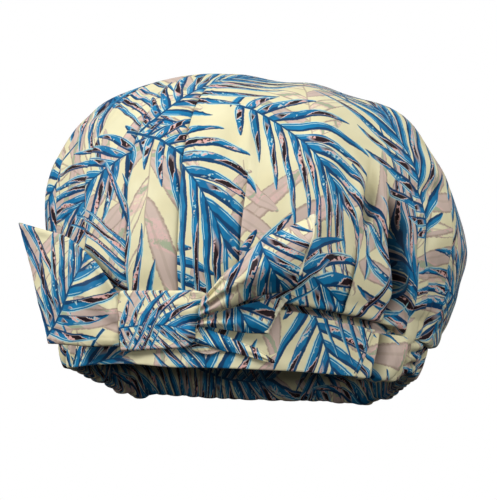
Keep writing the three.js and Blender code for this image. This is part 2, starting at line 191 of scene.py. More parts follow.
# ---------------------------------------------------------------- meshes
def mesh_object(name, points, faces, cloth=None, bake=None, extra=None):
    """A mesh from points in mm. cloth is the place of each point on the flat printed cloth, in metres, and bake its place on the exported map."""
    me = bpy.data.meshes.new(name)
    points = np.asarray(points, float) * MM
    faces = [tuple(int(i) for i in f) for f in faces]
    me.from_pydata(points.tolist(), [], faces)
    me.validate()
    me.shade_smooth()
    if cloth is not None:
        a = me.attributes.new("cloth", "FLOAT_VECTOR", "POINT")
        c = np.asarray(cloth, float)
        if c.shape[1] == 2:
            c = np.c_[c, np.zeros(len(c))]
        a.data.foreach_set("vector", c.astype(np.float32).ravel())
    for key, value in (extra or {}).items():
        a = me.attributes.new(key, "FLOAT", "POINT")
        a.data.foreach_set("value", np.asarray(value, np.float32).ravel())
    if bake is not None:
        layer = me.uv_layers.new(name="OFBake")
        index = np.zeros(len(me.loops), int)
        me.loops.foreach_get("vertex_index", index)
        b = np.asarray(bake, float)
        lo, hi = b.min(0), b.max(0)
        b = 0.004 + 0.992 * (b - lo) / max((hi - lo).max(), 1e-9)
        layer.data.foreach_set("uv", b[index].astype(np.float32).ravel())
    ob = bpy.data.objects.new(name, me)
    scene.collection.objects.link(ob)
    return ob


def grid_faces(nu, nv, wrap_u=False, wrap_v=False, base=0, flip=False):
    """Quads of a grid whose point (i, j) is number base + i * nv + j."""
    i = np.arange(nu if wrap_u else nu - 1)
    j = np.arange(nv if wrap_v else nv - 1)
    a, b = np.meshgrid(i, j, indexing="ij")
    a2, b2 = (a + 1) % nu, (b + 1) % nv
    q = np.stack([a * nv + b, a2 * nv + b, a2 * nv + b2, a * nv + b2], -1).reshape(-1, 4) + base
    return q[:, ::-1] if flip else q


def outward(ob, inside_hint=None):
    """Turns the faces of a closed mesh outwards."""
    bm_faces = ob.data
    import bmesh

    bm = bmesh.new()
    bm.from_mesh(bm_faces)
    bmesh.ops.recalc_face_normals(bm, faces=bm.faces)
    bm.to_mesh(bm_faces)
    bm.free()
    return ob


# ---------------------------------------------------------------- materials: numbers as nodes
class N:
    """A number that comes out of a node; arithmetic on it makes more nodes."""

    tree = None

    def __init__(self, socket):
        self.s = socket

    def __add__(a, b):
        return op("ADD", a, b)

    __radd__ = __add__

    def __sub__(a, b):
        return op("SUBTRACT", a, b)

    def __rsub__(a, b):
        return op("SUBTRACT", b, a)

    def __mul__(a, b):
        return op("MULTIPLY", a, b)

    __rmul__ = __mul__

    def __truediv__(a, b):
        return op("DIVIDE", a, b)

    def __neg__(a):
        return op("MULTIPLY", a, -1)


def op(kind, *args, clamp=False):
    n = N.tree.nodes.new("ShaderNodeMath")
    n.operation = kind
    for i, a in enumerate(args):
        if isinstance(a, N):
            N.tree.links.new(a.s, n.inputs[i])
        else:
            n.inputs[i].default_value = a
    if not clamp:
        return N(n.outputs[0])
    # a node of its own keeps the order in which the shader is worked out, so that it needs little room
    c = N.tree.nodes.new("ShaderNodeClamp")
    N.tree.links.new(n.outputs[0], c.inputs[0])
    return N(c.outputs[0])


def mad(a, b, c, clamp=False):
    return op("MULTIPLY_ADD", a, b, c, clamp=clamp)


def vmax(a, b):
    return op("MAXIMUM", a, b)


def vmin(a, b):
    return op("MINIMUM", a, b)


def vabs(a):
    return op("ABSOLUTE", a)


def step_up(x, gain):
    """0 below 0 and 1 above, over a width of 1/gain."""
    return mad(x, gain, 0.5, clamp=True)


def node(kind, **props):
    n = N.tree.nodes.new(kind)
    for k, v in props.items():
        setattr(n, k, v)
    return n


def plug(value, socket):
    if isinstance(value, N):
        N.tree.links.new(value.s, socket)
    elif isinstance(value, bpy.types.NodeSocket):
        N.tree.links.new(value, socket)
    else:
        socket.default_value = value


def mix(factor, a, b):
    """A colour between two; a and b are sockets or plain colours."""
    n = node("ShaderNodeMix", data_type="RGBA", clamp_factor=True)
    plug(factor, n.inputs[0])
    for value, socket in ((a, n.inputs[6]), (b, n.inputs[7])):
        if isinstance(value, bpy.types.NodeSocket):
            N.tree.links.new(value, socket)
        else:
            socket.default_value = (*value, 1) if len(value) == 3 else value
    return n.outputs[2]


def vector(x, y, z=0.0):
    n = node("ShaderNodeCombineXYZ")
    for v, s in zip((x, y, z), n.inputs):
        plug(v, s)
    return n.outputs[0]


def xyz(socket):
    n = node("ShaderNodeSeparateXYZ")
    N.tree.links.new(socket, n.inputs[0])
    return [N(o) for o in n.outputs]


def noise(at, scale, detail=2.0, rough=0.5, distort=0.0, colour=False):
    n = node("ShaderNodeTexNoise")
    N.tree.links.new(at, n.inputs["Vector"])
    n.inputs["Scale"].default_value = scale
    n.inputs["Detail"].default_value = detail
    n.inputs["Roughness"].default_value = rough
    n.inputs["Distortion"].default_value = distort
    return n.outputs["Color"] if colour else N(n.outputs["Fac"])


def srgb(r, g, b):
    """A colour given as it looks on a screen, 0 to 255, in linear numbers."""
    return tuple(c / 255 / 12.92 if c / 255 <= 0.04045 else ((c / 255 + 0.055) / 1.055) ** 2.4 for c in (r, g, b))


INK = {
    "ground": srgb(236, 229, 190),
    "ground_2": srgb(229, 220, 178),
    "blue": srgb(13, 110, 159),
    "blue_2": srgb(14, 124, 175),
    "deep": srgb(8, 56, 98),
    "black": srgb(34, 18, 26),
    "pink": srgb(228, 176, 168),
    "rim": srgb(178, 222, 222),
    "stem": srgb(8, 78, 122),
    "taupe": srgb(186, 166, 150),
    "taupe_2": srgb(170, 148, 134),
    "mauve": srgb(208, 186, 174),
    "rose": srgb(226, 188, 182),
    "sage": srgb(160, 178, 146),
}


FROND_INPUTS = ("X", "Y", "Ox", "Oy", "C", "S", "Bend", "Count", "Lean", "Fan", "Arch", "Reach", "Width", "Seed", "Noise1", "Noise2")


def frond_group(ghost):
    """One palm frond: leaflets on both sides of a bent midrib. It gives its colour and how far it covers the cloth."""
    tree = bpy.data.node_groups.new("frond_ghost" if ghost else "frond_blue", "ShaderNodeTree")
    for name in FROND_INPUTS:
        tree.interface.new_socket(name=name, in_out="INPUT", socket_type="NodeSocketFloat")
    tree.interface.new_socket(name="Under", in_out="INPUT", socket_type="NodeSocketColor")
    tree.interface.new_socket(name="Color", in_out="OUTPUT", socket_type="NodeSocketColor")
    N.tree = tree
    gi, go = node("NodeGroupInput"), node("NodeGroupOutput")
    g = {name: N(gi.outputs[name]) for name in FROND_INPUTS}
    half = PERIOD / 2
    lx = op("WRAP", g["X"] - g["Ox"], half, -half)
    ly = op("WRAP", g["Y"] - g["Oy"], half, -half)
    x = mad(lx, g["C"], ly * g["S"])
    y = ly * g["C"] - lx * g["S"]
    y = y - g["Bend"] * x * x
    side = op("SIGN", y)
    d = vabs(y)
    t = (x - g["Lean"] * d - g["Arch"] * d * d) / mad(g["Fan"], d, 1.0)
    # leaflets stand further apart towards the tip
    u = mad(g["Count"] * t, mad(t, -0.40, 1.0), side * 0.27)
    cell = op("FLOOR", u)
    f = op("FRACT", u) - 0.5
    w = node("ShaderNodeTexWhiteNoise", noise_dimensions="1D")
    plug(mad(cell, 1.7, mad(side, 31.0, g["Seed"])), w.inputs["W"])
    chance = N(w.outputs["Value"])
    # length of the leaflet that leaves the midrib here
    q = mad(t, 1 / 0.41, -0.34 / 0.41)
    reach = op("SQRT", vmax(1.0 - q * q, 0.0)) * g["Reach"] * mad(chance, 0.34, 0.80)
    a = d / vmax(reach, 0.001)
    f = mad(chance - 0.5, 0.18, f)
    free = vmax(1.0 - a, 0.0)
    body_w = g["Width"] * op("POWER", a + 0.05, 0.42) * op("POWER", free, 0.78)
    if not ghost:
        body_w = body_w + vmax(mad(a, -1.0, 0.46), 0.0) * vmax(mad(t, 0.8, 0.25), 0.0) * 0.85
    rough = g["Noise1"] - 0.5
    inside = op("GREATER_THAN", free, 0.01) * op("GREATER_THAN", reach, 0.01)
    width = mad(rough, 0.07, body_w)
    m = vabs(f)
    leaf = step_up(width - m, 45.0) * inside
    rel = f / vmax(width, 0.02)
    # hand-painted patches that follow the leaflet
    brush = op("SINE", mad(a, 10.0, mad(chance, 41.0, rel * 2.2)))
    brush = mad(op("SINE", mad(a, 27.0, mad(chance, 93.0, rel * 5.0))), 0.5, mad(rough, 1.2 if ghost else 1.9, brush))
    if ghost:
        # a broad taupe edge, a cream or mauve middle with rose and sage patches
        inner = step_up(0.80 - vabs(rel), 7.0)
        body = mix(op("GREATER_THAN", chance, 0.32), INK["ground"], INK["mauve"])
        body = mix(step_up(brush - 0.45, 3.0) * 0.8, body, INK["rose"])
        body = mix(step_up(brush - 0.95, 4.0) * 0.9, body, INK["sage"])
        line = mix(step_up(rough, 6.0), INK["taupe"], INK["taupe_2"])
        vein = step_up(0.12 - vabs(rel - 0.16), 14.0) * 0.5
        colour = mix(inner, line, mix(vein, body, INK["taupe"]))
        rib = step_up(0.0038 - d, 900.0) * op("LESS_THAN", vabs(x - 0.30), 0.42)
        out = mix(leaf * 0.97, gi.outputs["Under"], colour)
        out = mix(rib * 0.6, out, INK["taupe_2"])
    else:
        colour = mix(step_up(g["Noise2"] - 0.5, 5.0), INK["blue"], INK["blue_2"])
        # the lower side of a leaflet is darker
        colour = mix(step_up(rel - mad(g["Noise2"], 1.1, -0.20), 6.0) * 0.92, colour, INK["deep"])
        zone = step_up(0.60 - vabs(mad(chance - 0.5, 0.5, rel)), 5.0) * step_up(0.34 - vabs(a - 0.48), 12.0) * op("GREATER_THAN", op("FRACT", chance * 7.13), 0.18)
        colour = mix(zone * step_up(brush + 0.30, 7.0), colour, INK["rim"])
        colour = mix(zone * step_up(brush + 0.12, 8.0), colour, INK["pink"])
        colour = mix(zone * step_up(brush - 0.30, 8.0), colour, INK["black"])
        # a pale painted line inside, near the upper edge
        colour = mix(step_up(0.07 - vabs(rel + 0.62), 30.0) * step_up(g["Noise2"] - 0.47, 9.0), colour, INK["rim"])
        # thin pale line along the lower edge of each leaflet, outside it
        rim = step_up(width + 0.06 - m, 40.0) * inside * op("LESS_THAN", f, 0.0) * step_up(g["Noise2"] - 0.46, 8.0)
        rib_w = mad(x, -0.0055, 0.0068)
        on = op("LESS_THAN", vabs(x - 0.26), 0.48)
        rib = step_up(rib_w - d, 600.0) * on
        rib_rim = step_up(rib_w + 0.003 - d, 500.0) * on * 0.6
        out = mix(vmax(rim, rib_rim) * 0.9, gi.outputs["Under"], INK["rim"])
        out = mix(leaf, out, colour)
        out = mix(rib, out, INK["stem"])
    N.tree.links.new(out, go.inputs["Color"])
    return tree


PERIOD = 0.272

# The print's own layout on one repeat: place of each frond's foot in mm, its heading in degrees, its length in mm,
# its bend, leaflets a side, lean, fan, arch, reach and width.
GHOSTS = [
    (206, 75, -66, 134, -0.26, 8, 0.3, 2.2, 0.9, 0.38, 0.62),
    (153, 112, -116, 132, 0.32, 7, 0.25, 2, 0.9, 0.4, 0.62),
    (71, 197, 115, 129, -0.28, 8, 0.4, 2, 0.9, 0.38, 0.62),
    (19, 68, 53, 128, -0.3, 7, 0.3, 2.4, 0.9, 0.36, 0.62),
    (143, 147, 72, 126, 0.34, 8, 0.35, 2.2, 0.9, 0.39, 0.62),
    (255, 217, -92, 129, -0.29, 7, 0.25, 2.1, 0.9, 0.38, 0.62),
    (120, 20, 20, 118, 0.3, 8, 0.3, 2.2, 0.9, 0.38, 0.66),
    (40, 150, -70, 112, 0.3, 8, 0.3, 2.2, 0.9, 0.38, 0.66),
    (215, 150, 130, 116, -0.3, 7, 0.3, 2.2, 0.9, 0.38, 0.66),
]
BLUES = [
    (30, 199, -11, 112, -0.32, 15, 0.2, 3, 1, 0.36, 0.58),
    (221, 42, -103, 107, 0.27, 14, 0.15, 3.2, 1, 0.38, 0.58),
    (106, 71, -46, 108, 0.27, 15, 0.25, 2.8, 1, 0.35, 0.58),
    (238, 181, -171, 104, -0.38, 14, 0.2, 3.1, 1, 0.37, 0.58),
    (252, 195, 41, 111, 0.31, 16, 0.22, 3, 1, 0.36, 0.58),
    (268, 106, -80, 114, -0.37, 15, 0.2, 3.2, 1, 0.38, 0.58),
    (71, 117, 8, 112, -0.32, 14, 0.2, 2.8, 1, 0.35, 0.58),
    (74, 268, 105, 111, -0.27, 15, 0.15, 3.1, 1, 0.37, 0.58),
    (194, 47, 68, 110, 0.37, 16, 0.25, 3, 1, 0.36, 0.58),
    (168, 225, 170, 105, -0.34, 14, 0.2, 3.2, 1, 0.38, 0.58),
    (251, 180, -40, 113, -0.37, 15, 0.22, 2.8, 1, 0.35, 0.58),
]


def print_group():
    """The printed cloth's colour from its place on the flat cloth."""
    ghost, blue = frond_group(True), frond_group(False)
    tree = bpy.data.node_groups.new("leaf_print", "ShaderNodeTree")
    tree.interface.new_socket(name="Cloth", in_out="INPUT", socket_type="NodeSocketVector")
    tree.interface.new_socket(name="Color", in_out="OUTPUT", socket_type="NodeSocketColor")
    N.tree = tree
    gi, go = node("NodeGroupInput"), node("NodeGroupOutput")
    at = gi.outputs["Cloth"]
    px, py, _ = xyz(at)
    wx, wy, wz = xyz(noise(at, 42.0, 1.0, colour=True))
    x = mad(wx - 0.5, 0.0042, px)
    y = mad(wy - 0.5, 0.0042, py)
    n1 = noise(at, 520.0, 2.0, 0.55)
    n2 = noise(at, 95.0, 2.0, 0.5)
    under = mix(step_up(wz - 0.5, 3.0), INK["ground"], INK["ground_2"])
    for k, (rows, group) in enumerate(((GHOSTS, ghost), (BLUES, blue))):
        for i, (ox, oy, heading, length, bend, count, lean, fan, arch, reach, width) in enumerate(rows):
            g = node("ShaderNodeGroup", node_tree=group)
            a = heading * DEG
            values = dict(
                X=x, Y=y, Ox=ox * MM, Oy=oy * MM, C=math.cos(a) / (length * MM), S=math.sin(a) / (length * MM),
                Bend=bend, Count=count, Lean=lean, Fan=fan, Arch=arch, Reach=reach, Width=width, Seed=7.31 * i + 101 * k,
                Noise1=n1, Noise2=n2,
            )
            for name, value in values.items():
                plug(value, g.inputs[name])
            if isinstance(under, bpy.types.NodeSocket):
                N.tree.links.new(under, g.inputs["Under"])
            under = g.outputs["Color"]
    N.tree.links.new(under, go.inputs["Color"])
    return tree


PRINT = print_group()


def material(name):
    m = bpy.data.materials.new(name)
    m.use_nodes = True
    m.node_tree.nodes.clear()
    N.tree = m.node_tree
    out = node("ShaderNodeOutputMaterial")
    bsdf = node("ShaderNodeBsdfPrincipled")
    N.tree.links.new(bsdf.outputs[0], out.inputs[0])
    return m, bsdf


def attribute(name):
    return node("ShaderNodeAttribute", attribute_name=name).outputs["Vector"]


def place(socket, angle=0.0, shift=(0, 0, 0), scale=(1, 1, 1)):
    n = node("ShaderNodeMapping")
    N.tree.links.new(socket, n.inputs[0])
    n.inputs["Location"].default_value = shift
    n.inputs["Rotation"].default_value = (0, 0, angle)
    n.inputs["Scale"].default_value = scale
    return n.outputs[0]


def bump(height, distance, strength, normal=None):
    n = node("ShaderNodeBump")
    plug(height, n.inputs["Height"])
    n.inputs["Distance"].default_value = distance
    n.inputs["Strength"].default_value = strength
    if normal is not None:
        N.tree.links.new(normal, n.inputs["Normal"])
    return n.outputs[0]


def weave(at, pitch):
    """Crossed threads of a satin weave on the flat cloth."""
    x, y, _ = xyz(at)
    k = 2 * math.pi / pitch
    a = op("SINE", x * k)
    b = op("SINE", mad(y, k * 0.5, x * (k * 0.5)))
    return mad(a, 0.3, b * 0.5)


def printed(name, angle=0.0, shift=(0, 0), scale=1.0, painted_light_gain=1.0):
    """Satin-faced printed cloth."""
    m, b = material(name)
    at = attribute("cloth")
    moved = place(at, angle, (shift[0], shift[1], 0), (scale, scale, 1))
    g = node("ShaderNodeGroup", node_tree=PRINT)
    N.tree.links.new(moved, g.inputs[0])
    colour = g.outputs[0]
    # soft unevenness of the dye
    uneven = node("ShaderNodeHueSaturation")
    N.tree.links.new(colour, uneven.inputs["Color"])
    value = mad(noise(at, 60.0, 3.0, 0.6), 0.16, 0.90)
    # painted shade: cloth in creases, tucks and hollows is darkened through a per-point attribute of the mesh
    deep = N(node("ShaderNodeAttribute", attribute_name="painted_crease_shade").outputs["Fac"])
    # painted light: the last factor brightens a piece's colour to make up for lamp light it doesn't get
    plug(value * mad(deep, -0.78, 1.0, clamp=True) * painted_light_gain, uneven.inputs["Value"])
    N.tree.links.new(uneven.outputs[0], b.inputs["Base Color"])
    plug(mad(noise(at, 400.0, 2.0), 0.14, 0.48), b.inputs["Roughness"])
    b.inputs["Specular IOR Level"].default_value = 0.16
    b.inputs["Sheen Weight"].default_value = 0.03
    b.inputs["Sheen Roughness"].default_value = 0.4
    b.inputs["Sheen Tint"].default_value = (1, 0.98, 0.94, 1)
    fine = bump(weave(at, 0.00042), 0.00006, 0.35)
    soft = bump(noise(at, 120.0, 3.0, 0.55), 0.0007, 0.35, fine)
    N.tree.links.new(soft, b.inputs["Normal"])
    return m


def plain_cloth(name, colour, colour_2, pitch=0.0005, rough=0.7, coords="Object"):
    m, b = material(name)
    at = node("ShaderNodeTexCoord").outputs[coords]
    spots = noise(at, 300.0, 3.0, 0.6)
    N.tree.links.new(mix(step_up(spots - 0.5, 3.0), colour, colour_2), b.inputs["Base Color"])
    plug(mad(noise(at, 900.0, 2.0), 0.15, rough - 0.08), b.inputs["Roughness"])
    b.inputs["Specular IOR Level"].default_value = 0.3
    b.inputs["Sheen Weight"].default_value = 0.2
    x, y, z = xyz(at)
    k = 2 * math.pi / pitch
    threads = op("SINE", (x + y) * k) * 0.5 + op("SINE", mad(z, k, 0.0)) * 0.5
    N.tree.links.new(bump(threads, 0.00008, 0.5, bump(spots, 0.0004, 0.4)), b.inputs["Normal"])
    return m


def thread_material(name, colour, colour_2):
    m, b = material(name)
    at = node("ShaderNodeTexCoord").outputs["Object"]
    x, y, z = xyz(at)
    twist = op("SINE", mad(z, 9000.0, (x + y) * 6000.0))
    N.tree.links.new(mix(mad(twist, 0.5, 0.5), colour, colour_2), b.inputs["Base Color"])
    plug(mad(noise(at, 1500.0, 2.0), 0.2, 0.45), b.inputs["Roughness"])
    b.inputs["Sheen Weight"].default_value = 0.3
    N.tree.links.new(bump(twist, 0.00008, 0.6), b.inputs["Normal"])
    return m


def film_material(name):
    """Thin soft waterproof film with fine crinkles, coloured near-black as painted shade for the inside of the cap."""
    m, b = material(name)
    at = node("ShaderNodeTexCoord").outputs["Object"]
    n1 = noise(at, 40.0, 4.0, 0.6, 0.4)
    n2 = noise(at, 260.0, 2.0, 0.5)
    N.tree.links.new(mix(n1, srgb(30, 33, 38), srgb(44, 47, 52)), b.inputs["Base Color"])
    plug(mad(n2, 0.25, 0.30), b.inputs["Roughness"])
    b.inputs["Specular IOR Level"].default_value = 0.4
    N.tree.links.new(bump(n1, 0.0012, 0.5, bump(n2, 0.0003, 0.5)), b.inputs["Normal"])
    return m


CREAM = srgb(232, 226, 188)
MATS = {
    "film": film_material("waterproof_film"),
    "pale": plain_cloth("pale_reverse_cloth", srgb(238, 233, 206), srgb(224, 216, 180)),
    "stiff": plain_cloth("nonwoven_stiffening", srgb(238, 236, 228), srgb(226, 223, 212), 0.0011, 0.85),
    "tape": plain_cloth("ribbed_seam_tape", srgb(226, 219, 196), srgb(210, 202, 178), 0.0009, 0.8),
    "elastic": plain_cloth("knitted_elastic", srgb(238, 236, 228), srgb(222, 219, 208), 0.0012, 0.8),
    "blue_thread": thread_material("blue_thread", srgb(24, 84, 124), srgb(12, 52, 84)),
    "pale_thread": thread_material("pale_thread", srgb(232, 226, 204), srgb(206, 198, 172)),
}

# ---------------------------------------------------------------- crown
TOP = float(sunk(0, 178.0))
PLEATS = [(-58, 0.36), (-42, 0.34), (-25.3, 0.30), (-9.3, 0.14), (7.6, 0.50), (38.6, 0.62)]  # angle, and share of the profile where it opens out
SIDE_PLEATS = [(58.8, 0.50), (75.4, 0.46)]
EDGES = [(a, r, 1) for a, r in PLEATS] + [(a, r, -1) for a, r in SIDE_PLEATS]


def overhang(deg):
    """How much lower than its seam the slack cloth hangs, as a share: full at the loops, less in between."""
    a = np.where(deg_wrap(deg) < 0, deg_wrap(deg) + 360, deg_wrap(deg))
    out = 0.60 * np.exp(-(((a - 64.5) / 4.6) ** 2)) + 0.55 * np.exp(-(((a - 85) / 6.0) ** 2)) + 0.06
    r = np.random.default_rng(8)
    x = 104.0
    while x < 300:
        out = out + r.uniform(0.1, 0.55) * np.exp(-(((a - x) / r.uniform(3.0, 5.0)) ** 2))
        x += r.uniform(9, 17)
    return out * smooth(55, 60, a) * smooth(304, 298, a) + 0.04 * np.sin(a * 0.3)


# From the end of the main profile to the seam: share of the way, how far in, how far down. The front cloth folds under
# and a narrow tuck shows between it and the band; the sides and back hang over the casing.
TUCK_FRONT = Profile([[0, 0, 0], [0.14, 0.06, 0.17], [0.27, 0.13, 0.36], [0.35, 0.30, 0.50], [0.42, 0.8, 0.53], [0.50, 1.35, 0.50], [0.59, 1.35, 0.60], [0.72, 1.1, 0.78], [0.86, 0.98, 0.92], [1, 1, 1]])
TUCK_SIDE = Profile([[0, 0, 0], [0.18, 0.04, 0.32], [0.36, 0.11, 0.64], [0.50, 0.22, 0.88], [0.58, 0.38, 0.96], [0.68, 0.62, 0.90], [0.84, 0.9, 0.84], [1, 1, 1]])
TUCK_HANG = Profile([[0, 0, 0], [0.18, 0, 0.15], [0.36, 0, 0.62], [0.50, 0, 1.0], [0.60, 0, 1.0], [0.72, 0, 0.62], [0.86, 0, 0.2], [1, 0, 0]])


def tuck_at(table, k):
    """How far in and down at a share k of the way."""
    return [np.interp(k, table.x[:, 0], table.x[:, i]) for i in (1, 2)]


def crown_base(deg, s):
    """The crown's plain surface at an angle from the front and a share of the profile, both arrays."""
    t = deg * DEG
    sn, cs = np.sin(t), np.cos(t)
    u = np.clip(s / MAIN, 0, 1)

    def main(u):
        xr, zr = P_RIGHT.at(u)
        xl, zl = P_LEFT.at(u)
        yf, zf = P_FRONT.at(u)
        yb, zb = P_BACK.at(u)
        x, zx = np.where(sn >= 0, xr, xl), np.where(sn >= 0, zr, zl)
        y, zy = np.where(cs >= 0, yf, yb), np.where(cs >= 0, zf, zb)
        return np.stack([x * sn, CROWN_CY - y * cs, sunk(x * sn, zx * sn * sn + zy * cs * cs)], -1)

    p = main(u)
    k = np.clip((s - MAIN) / (1 - MAIN), 0, 1)
    m = main(np.ones_like(u))
    away = np.abs(deg_wrap(deg))
    rear = smooth(56, 66, away)
    rim = lerp(band_height(t) - 1.6, casing_height(deg) + lift(deg) - 0.8, smooth(57, 62, away))
    ex, ey = hem(t, lerp(-0.95, -CASING_T / 2, rear))
    e = np.stack([ex, ey, rim], -1)
    hang = overhang(deg)
    fa, fb = tuck_at(TUCK_FRONT, k)
    sa, sb = tuck_at(TUCK_SIDE, k)
    hb = tuck_at(TUCK_HANG, k)[1]
    a = lerp(fa, sa - 0.06 * hang * hb, rear)[..., None]
    b = lerp(fb, sb + 0.62 * hang * hb, rear)
    tuck = lerp(m, e, a)
    tuck[..., 2] = lerp(m[..., 2], e[..., 2], b)
    return np.where((s > MAIN)[..., None], tuck, p)


def crown_frame(deg, s):
    """Place, outward normal and tangents of the plain crown."""
    e = 1e-3
    p = crown_base(deg, s)
    ds = crown_base(deg, np.clip(s + e, 0, 1)) - crown_base(deg, np.clip(s - e, 0, 1))
    dt = crown_base(deg + 0.05, s) - crown_base(deg - 0.05, s)
    n = np.cross(ds, dt)
    size = np.linalg.norm(n, axis=-1, keepdims=True)
    n = np.where(size > 1e-9, n / np.maximum(size, 1e-9), [0, 0, 1.0])
    # outwards: away from a point inside the crown
    inside = p - np.array([0, CROWN_CY, 70.0])
    n = np.where((n * inside).sum(-1, keepdims=True) < 0, -n, n)
    return p, n


# Creases that run up from the casing, where the gathered cloth folds: angle, depth, reach up the crown, width and lean.
def make_creases():
    r = np.random.default_rng(11)
    out = []
    a = 57.2
    while a < 303:
        reach = r.choice([r.uniform(14, 26), r.uniform(28, 56), r.uniform(60, 125)], p=[0.46, 0.34, 0.20])
        out.append((a, r.uniform(2.2, 3.6) * (1.15 if reach > 50 else 1), reach, r.uniform(1.6, 2.4), r.uniform(-0.10, 0.10)))
        a += r.uniform(3.4, 6.6)
    return out


CREASES = make_creases()
big_wave = wave(3, 16, 60, 150)
mid_wave = wave(4, 22, 22, 60)
fine_wave = wave(5, 26, 9, 22)


def crown_relief(deg, s):
    """How far the cloth stands in or out of the plain crown, in mm, apart from the pleats' own folds."""
    d = deg_wrap(deg)
    full = np.where(d < -150, d + 360, d)  # 57..303 runs round the back
    around = np.where(d < 0, d + 360, d)
    h = (1 - s) * 262.0  # way up from the seam, along the cloth
    out = np.zeros(np.broadcast(deg, s).shape)
    # the front panels belly out between their folds
    low = smooth(0.35, 0.8, s) * (1 - 0.5 * smooth(MAIN, 1, s))
    marks = [-76] + [a for a, _ in PLEATS] + [30]
    for a, b in zip(marks[:-1], marks[1:]):
        k = np.clip((d - a) / (b - a), 0, 1)
        out += np.where((d >= a) & (d < b), low * 1.5 * np.sin(math.pi * k), 0)
    # deep fold at the right end of the band
    mid = 50.9
    v = (d - mid) / lerp(1.75, 2.2, smooth(0.74, 0.58, s))
    out -= 15.0 * smooth(0.55, 0.71, s) * (1 - smooth(MAIN - 0.01, MAIN + 0.05, s)) * np.exp(-np.abs(v) ** lerp(1.5, 4.0, smooth(0.60, 0.70, s)))
    out += 1.6 * smooth(0.52, 0.7, s) * (np.exp(-(((d - mid + 4.6) / 2.6) ** 2)) + 0.7 * np.exp(-(((d - mid - 4.2) / 2.0) ** 2)))
    # the roll of cloth that crosses the foot of the fold
    out += 3.0 * np.exp(-(((d - 51.5 - 30 * (s - 0.92)) / 3.0) ** 2)) * np.exp(-(((s - 0.915) / 0.022) ** 2))
    # two slack folds that fall from the shoulder beside it
    x = d - 43.8 + 26 * (s - 0.575)
    out -= 4.8 * np.exp(-np.abs(x / lerp(1.1, 2.3, smooth(0.55, 0.66, s))) ** 2.6) * smooth(0.50, 0.61, s) * (1 - smooth(0.676, 0.700, s + 0.006 * x * x))
    out += 1.6 * (np.exp(-(((x - 4.2) / 2.0) ** 2)) + 0.7 * np.exp(-(((x + 4.2) / 2.2) ** 2))) * np.exp(-(((s - 0.645) / 0.07) ** 2))
    out -= 2.2 * np.exp(-(((d - 66 + 16 * (s - 0.6)) / 1.9) ** 2)) * np.exp(-(((s - 0.66) / 0.08) ** 2))
    out -= 2.4 * np.exp(-(((d - 67.5 - 6 * (s - 0.8)) / 1.5) ** 2)) * smooth(0.68, 0.79, s)
    out -= 2.4 * np.exp(-(((d - 87 + 10 * (s - 0.5)) / 2.4) ** 2)) * smooth(0.42, 0.62, s)
    # the cloth is drawn together where each pleat starts
    for a, rel in PLEATS:
        k = np.exp(-(((s - rel - 0.01) / 0.075) ** 2)) * smooth(0.12, 0.30, rel)
        x = (d - a) * np.minimum(1.0, s * 2.2)
        out += k * (1.5 * np.exp(-((x / 1.5) ** 2)) - 1.0 * np.exp(-(((x - 4.2) / 2.2) ** 2)) - 0.9 * np.exp(-(((x + 4.4) / 2.4) ** 2)))
    # the front cloth bellies out over the tuck above the band
    out += 2.4 * (1 - smooth(54, 64, np.abs(d))) * smooth(0.72, 0.84, s)
    # a dimple in the smooth front right panel, and slack folds that run from it
    q = ((d - 22) / 6.5) ** 2 + ((s - 0.47) / 0.07) ** 2
    out -= 3.4 * np.exp(-q)
    out += 1.6 * np.exp(-(((d - 30) / 5.0) ** 2)) * np.exp(-(((s - 0.52) / 0.12) ** 2))
    # gathers
    side = smooth(55, 60, around) * smooth(305, 300, around)
    total = np.zeros_like(out)
    for a, depth, reach, width, lean in CREASES:
        w = width + 0.075 * h
        x = (around - a - lean * h) * 1.98
        fade = np.clip(1 - h / reach, 0, 1) ** 0.9
        total += depth * fade * (0.55 + 0.02 * reach) * np.exp(-np.abs(x / w) ** 1.6)
    rim = smooth(0.0, 8.0, h)
    out += side * (-total * lerp(0.55, 1.0, rim) + 1.9 * smooth(60, 0, h) * rim)
    # loose cloth: broad at the top, livelier low at the sides and back
    gx, gy = deg * 1.95, s * 250
    loose = smooth(40, 100, np.abs(d))
    out += (0.5 + 1.4 * loose) * smooth(0.05, 0.35, s) * big_wave(gx, gy * 0.6)
    out += (0.15 + 0.75 * loose) * smooth(0.25, 0.6, s) * mid_wave(gx, gy * 0.5)
    out += 0.12 * smooth(0.3, 0.7, s) * fine_wave(gx, gy * 0.6)
    # the cloth folds over on the right shoulder, with a short crease under the hump
    at = s - 0.570 + 0.0016 * (d - 66)
    hump = np.exp(-(((d - 67) / 8.0) ** 2))
    out += hump * (2.6 * np.exp(-((np.minimum(at + 0.022, 0) / 0.055) ** 2)) * (1 - smooth(-0.022, 0.004, at)) - 1.5 * np.exp(-(((at - 0.008) / 0.016) ** 2)))
    return out


# The fold of a knife pleat, from the panel that goes under to the panel on top: place along the surface from the
# folded edge when pressed, and how far off the surface, in mm.
FOLD = [
    (-5.5, 0.0), (-3.6, -0.15), (-2.2, -0.45), (-1.1, -0.8), (-0.3, -1.0),
    (1.0, -1.1), (2.8, -1.1), (4.6, -1.05), (5.6, -0.9), (5.2, -0.62), (3.6, -0.5), (1.8, -0.42), (0.6, -0.34), (0.0, -0.18),
    (-0.32, 0.12), (-0.12, 0.5), (0.5, 0.78), (1.4, 0.92), (2.6, 0.9), (4.0, 0.72), (5.5, 0.5),
]
FOLD_EDGE = 14  # the column at the folded edge


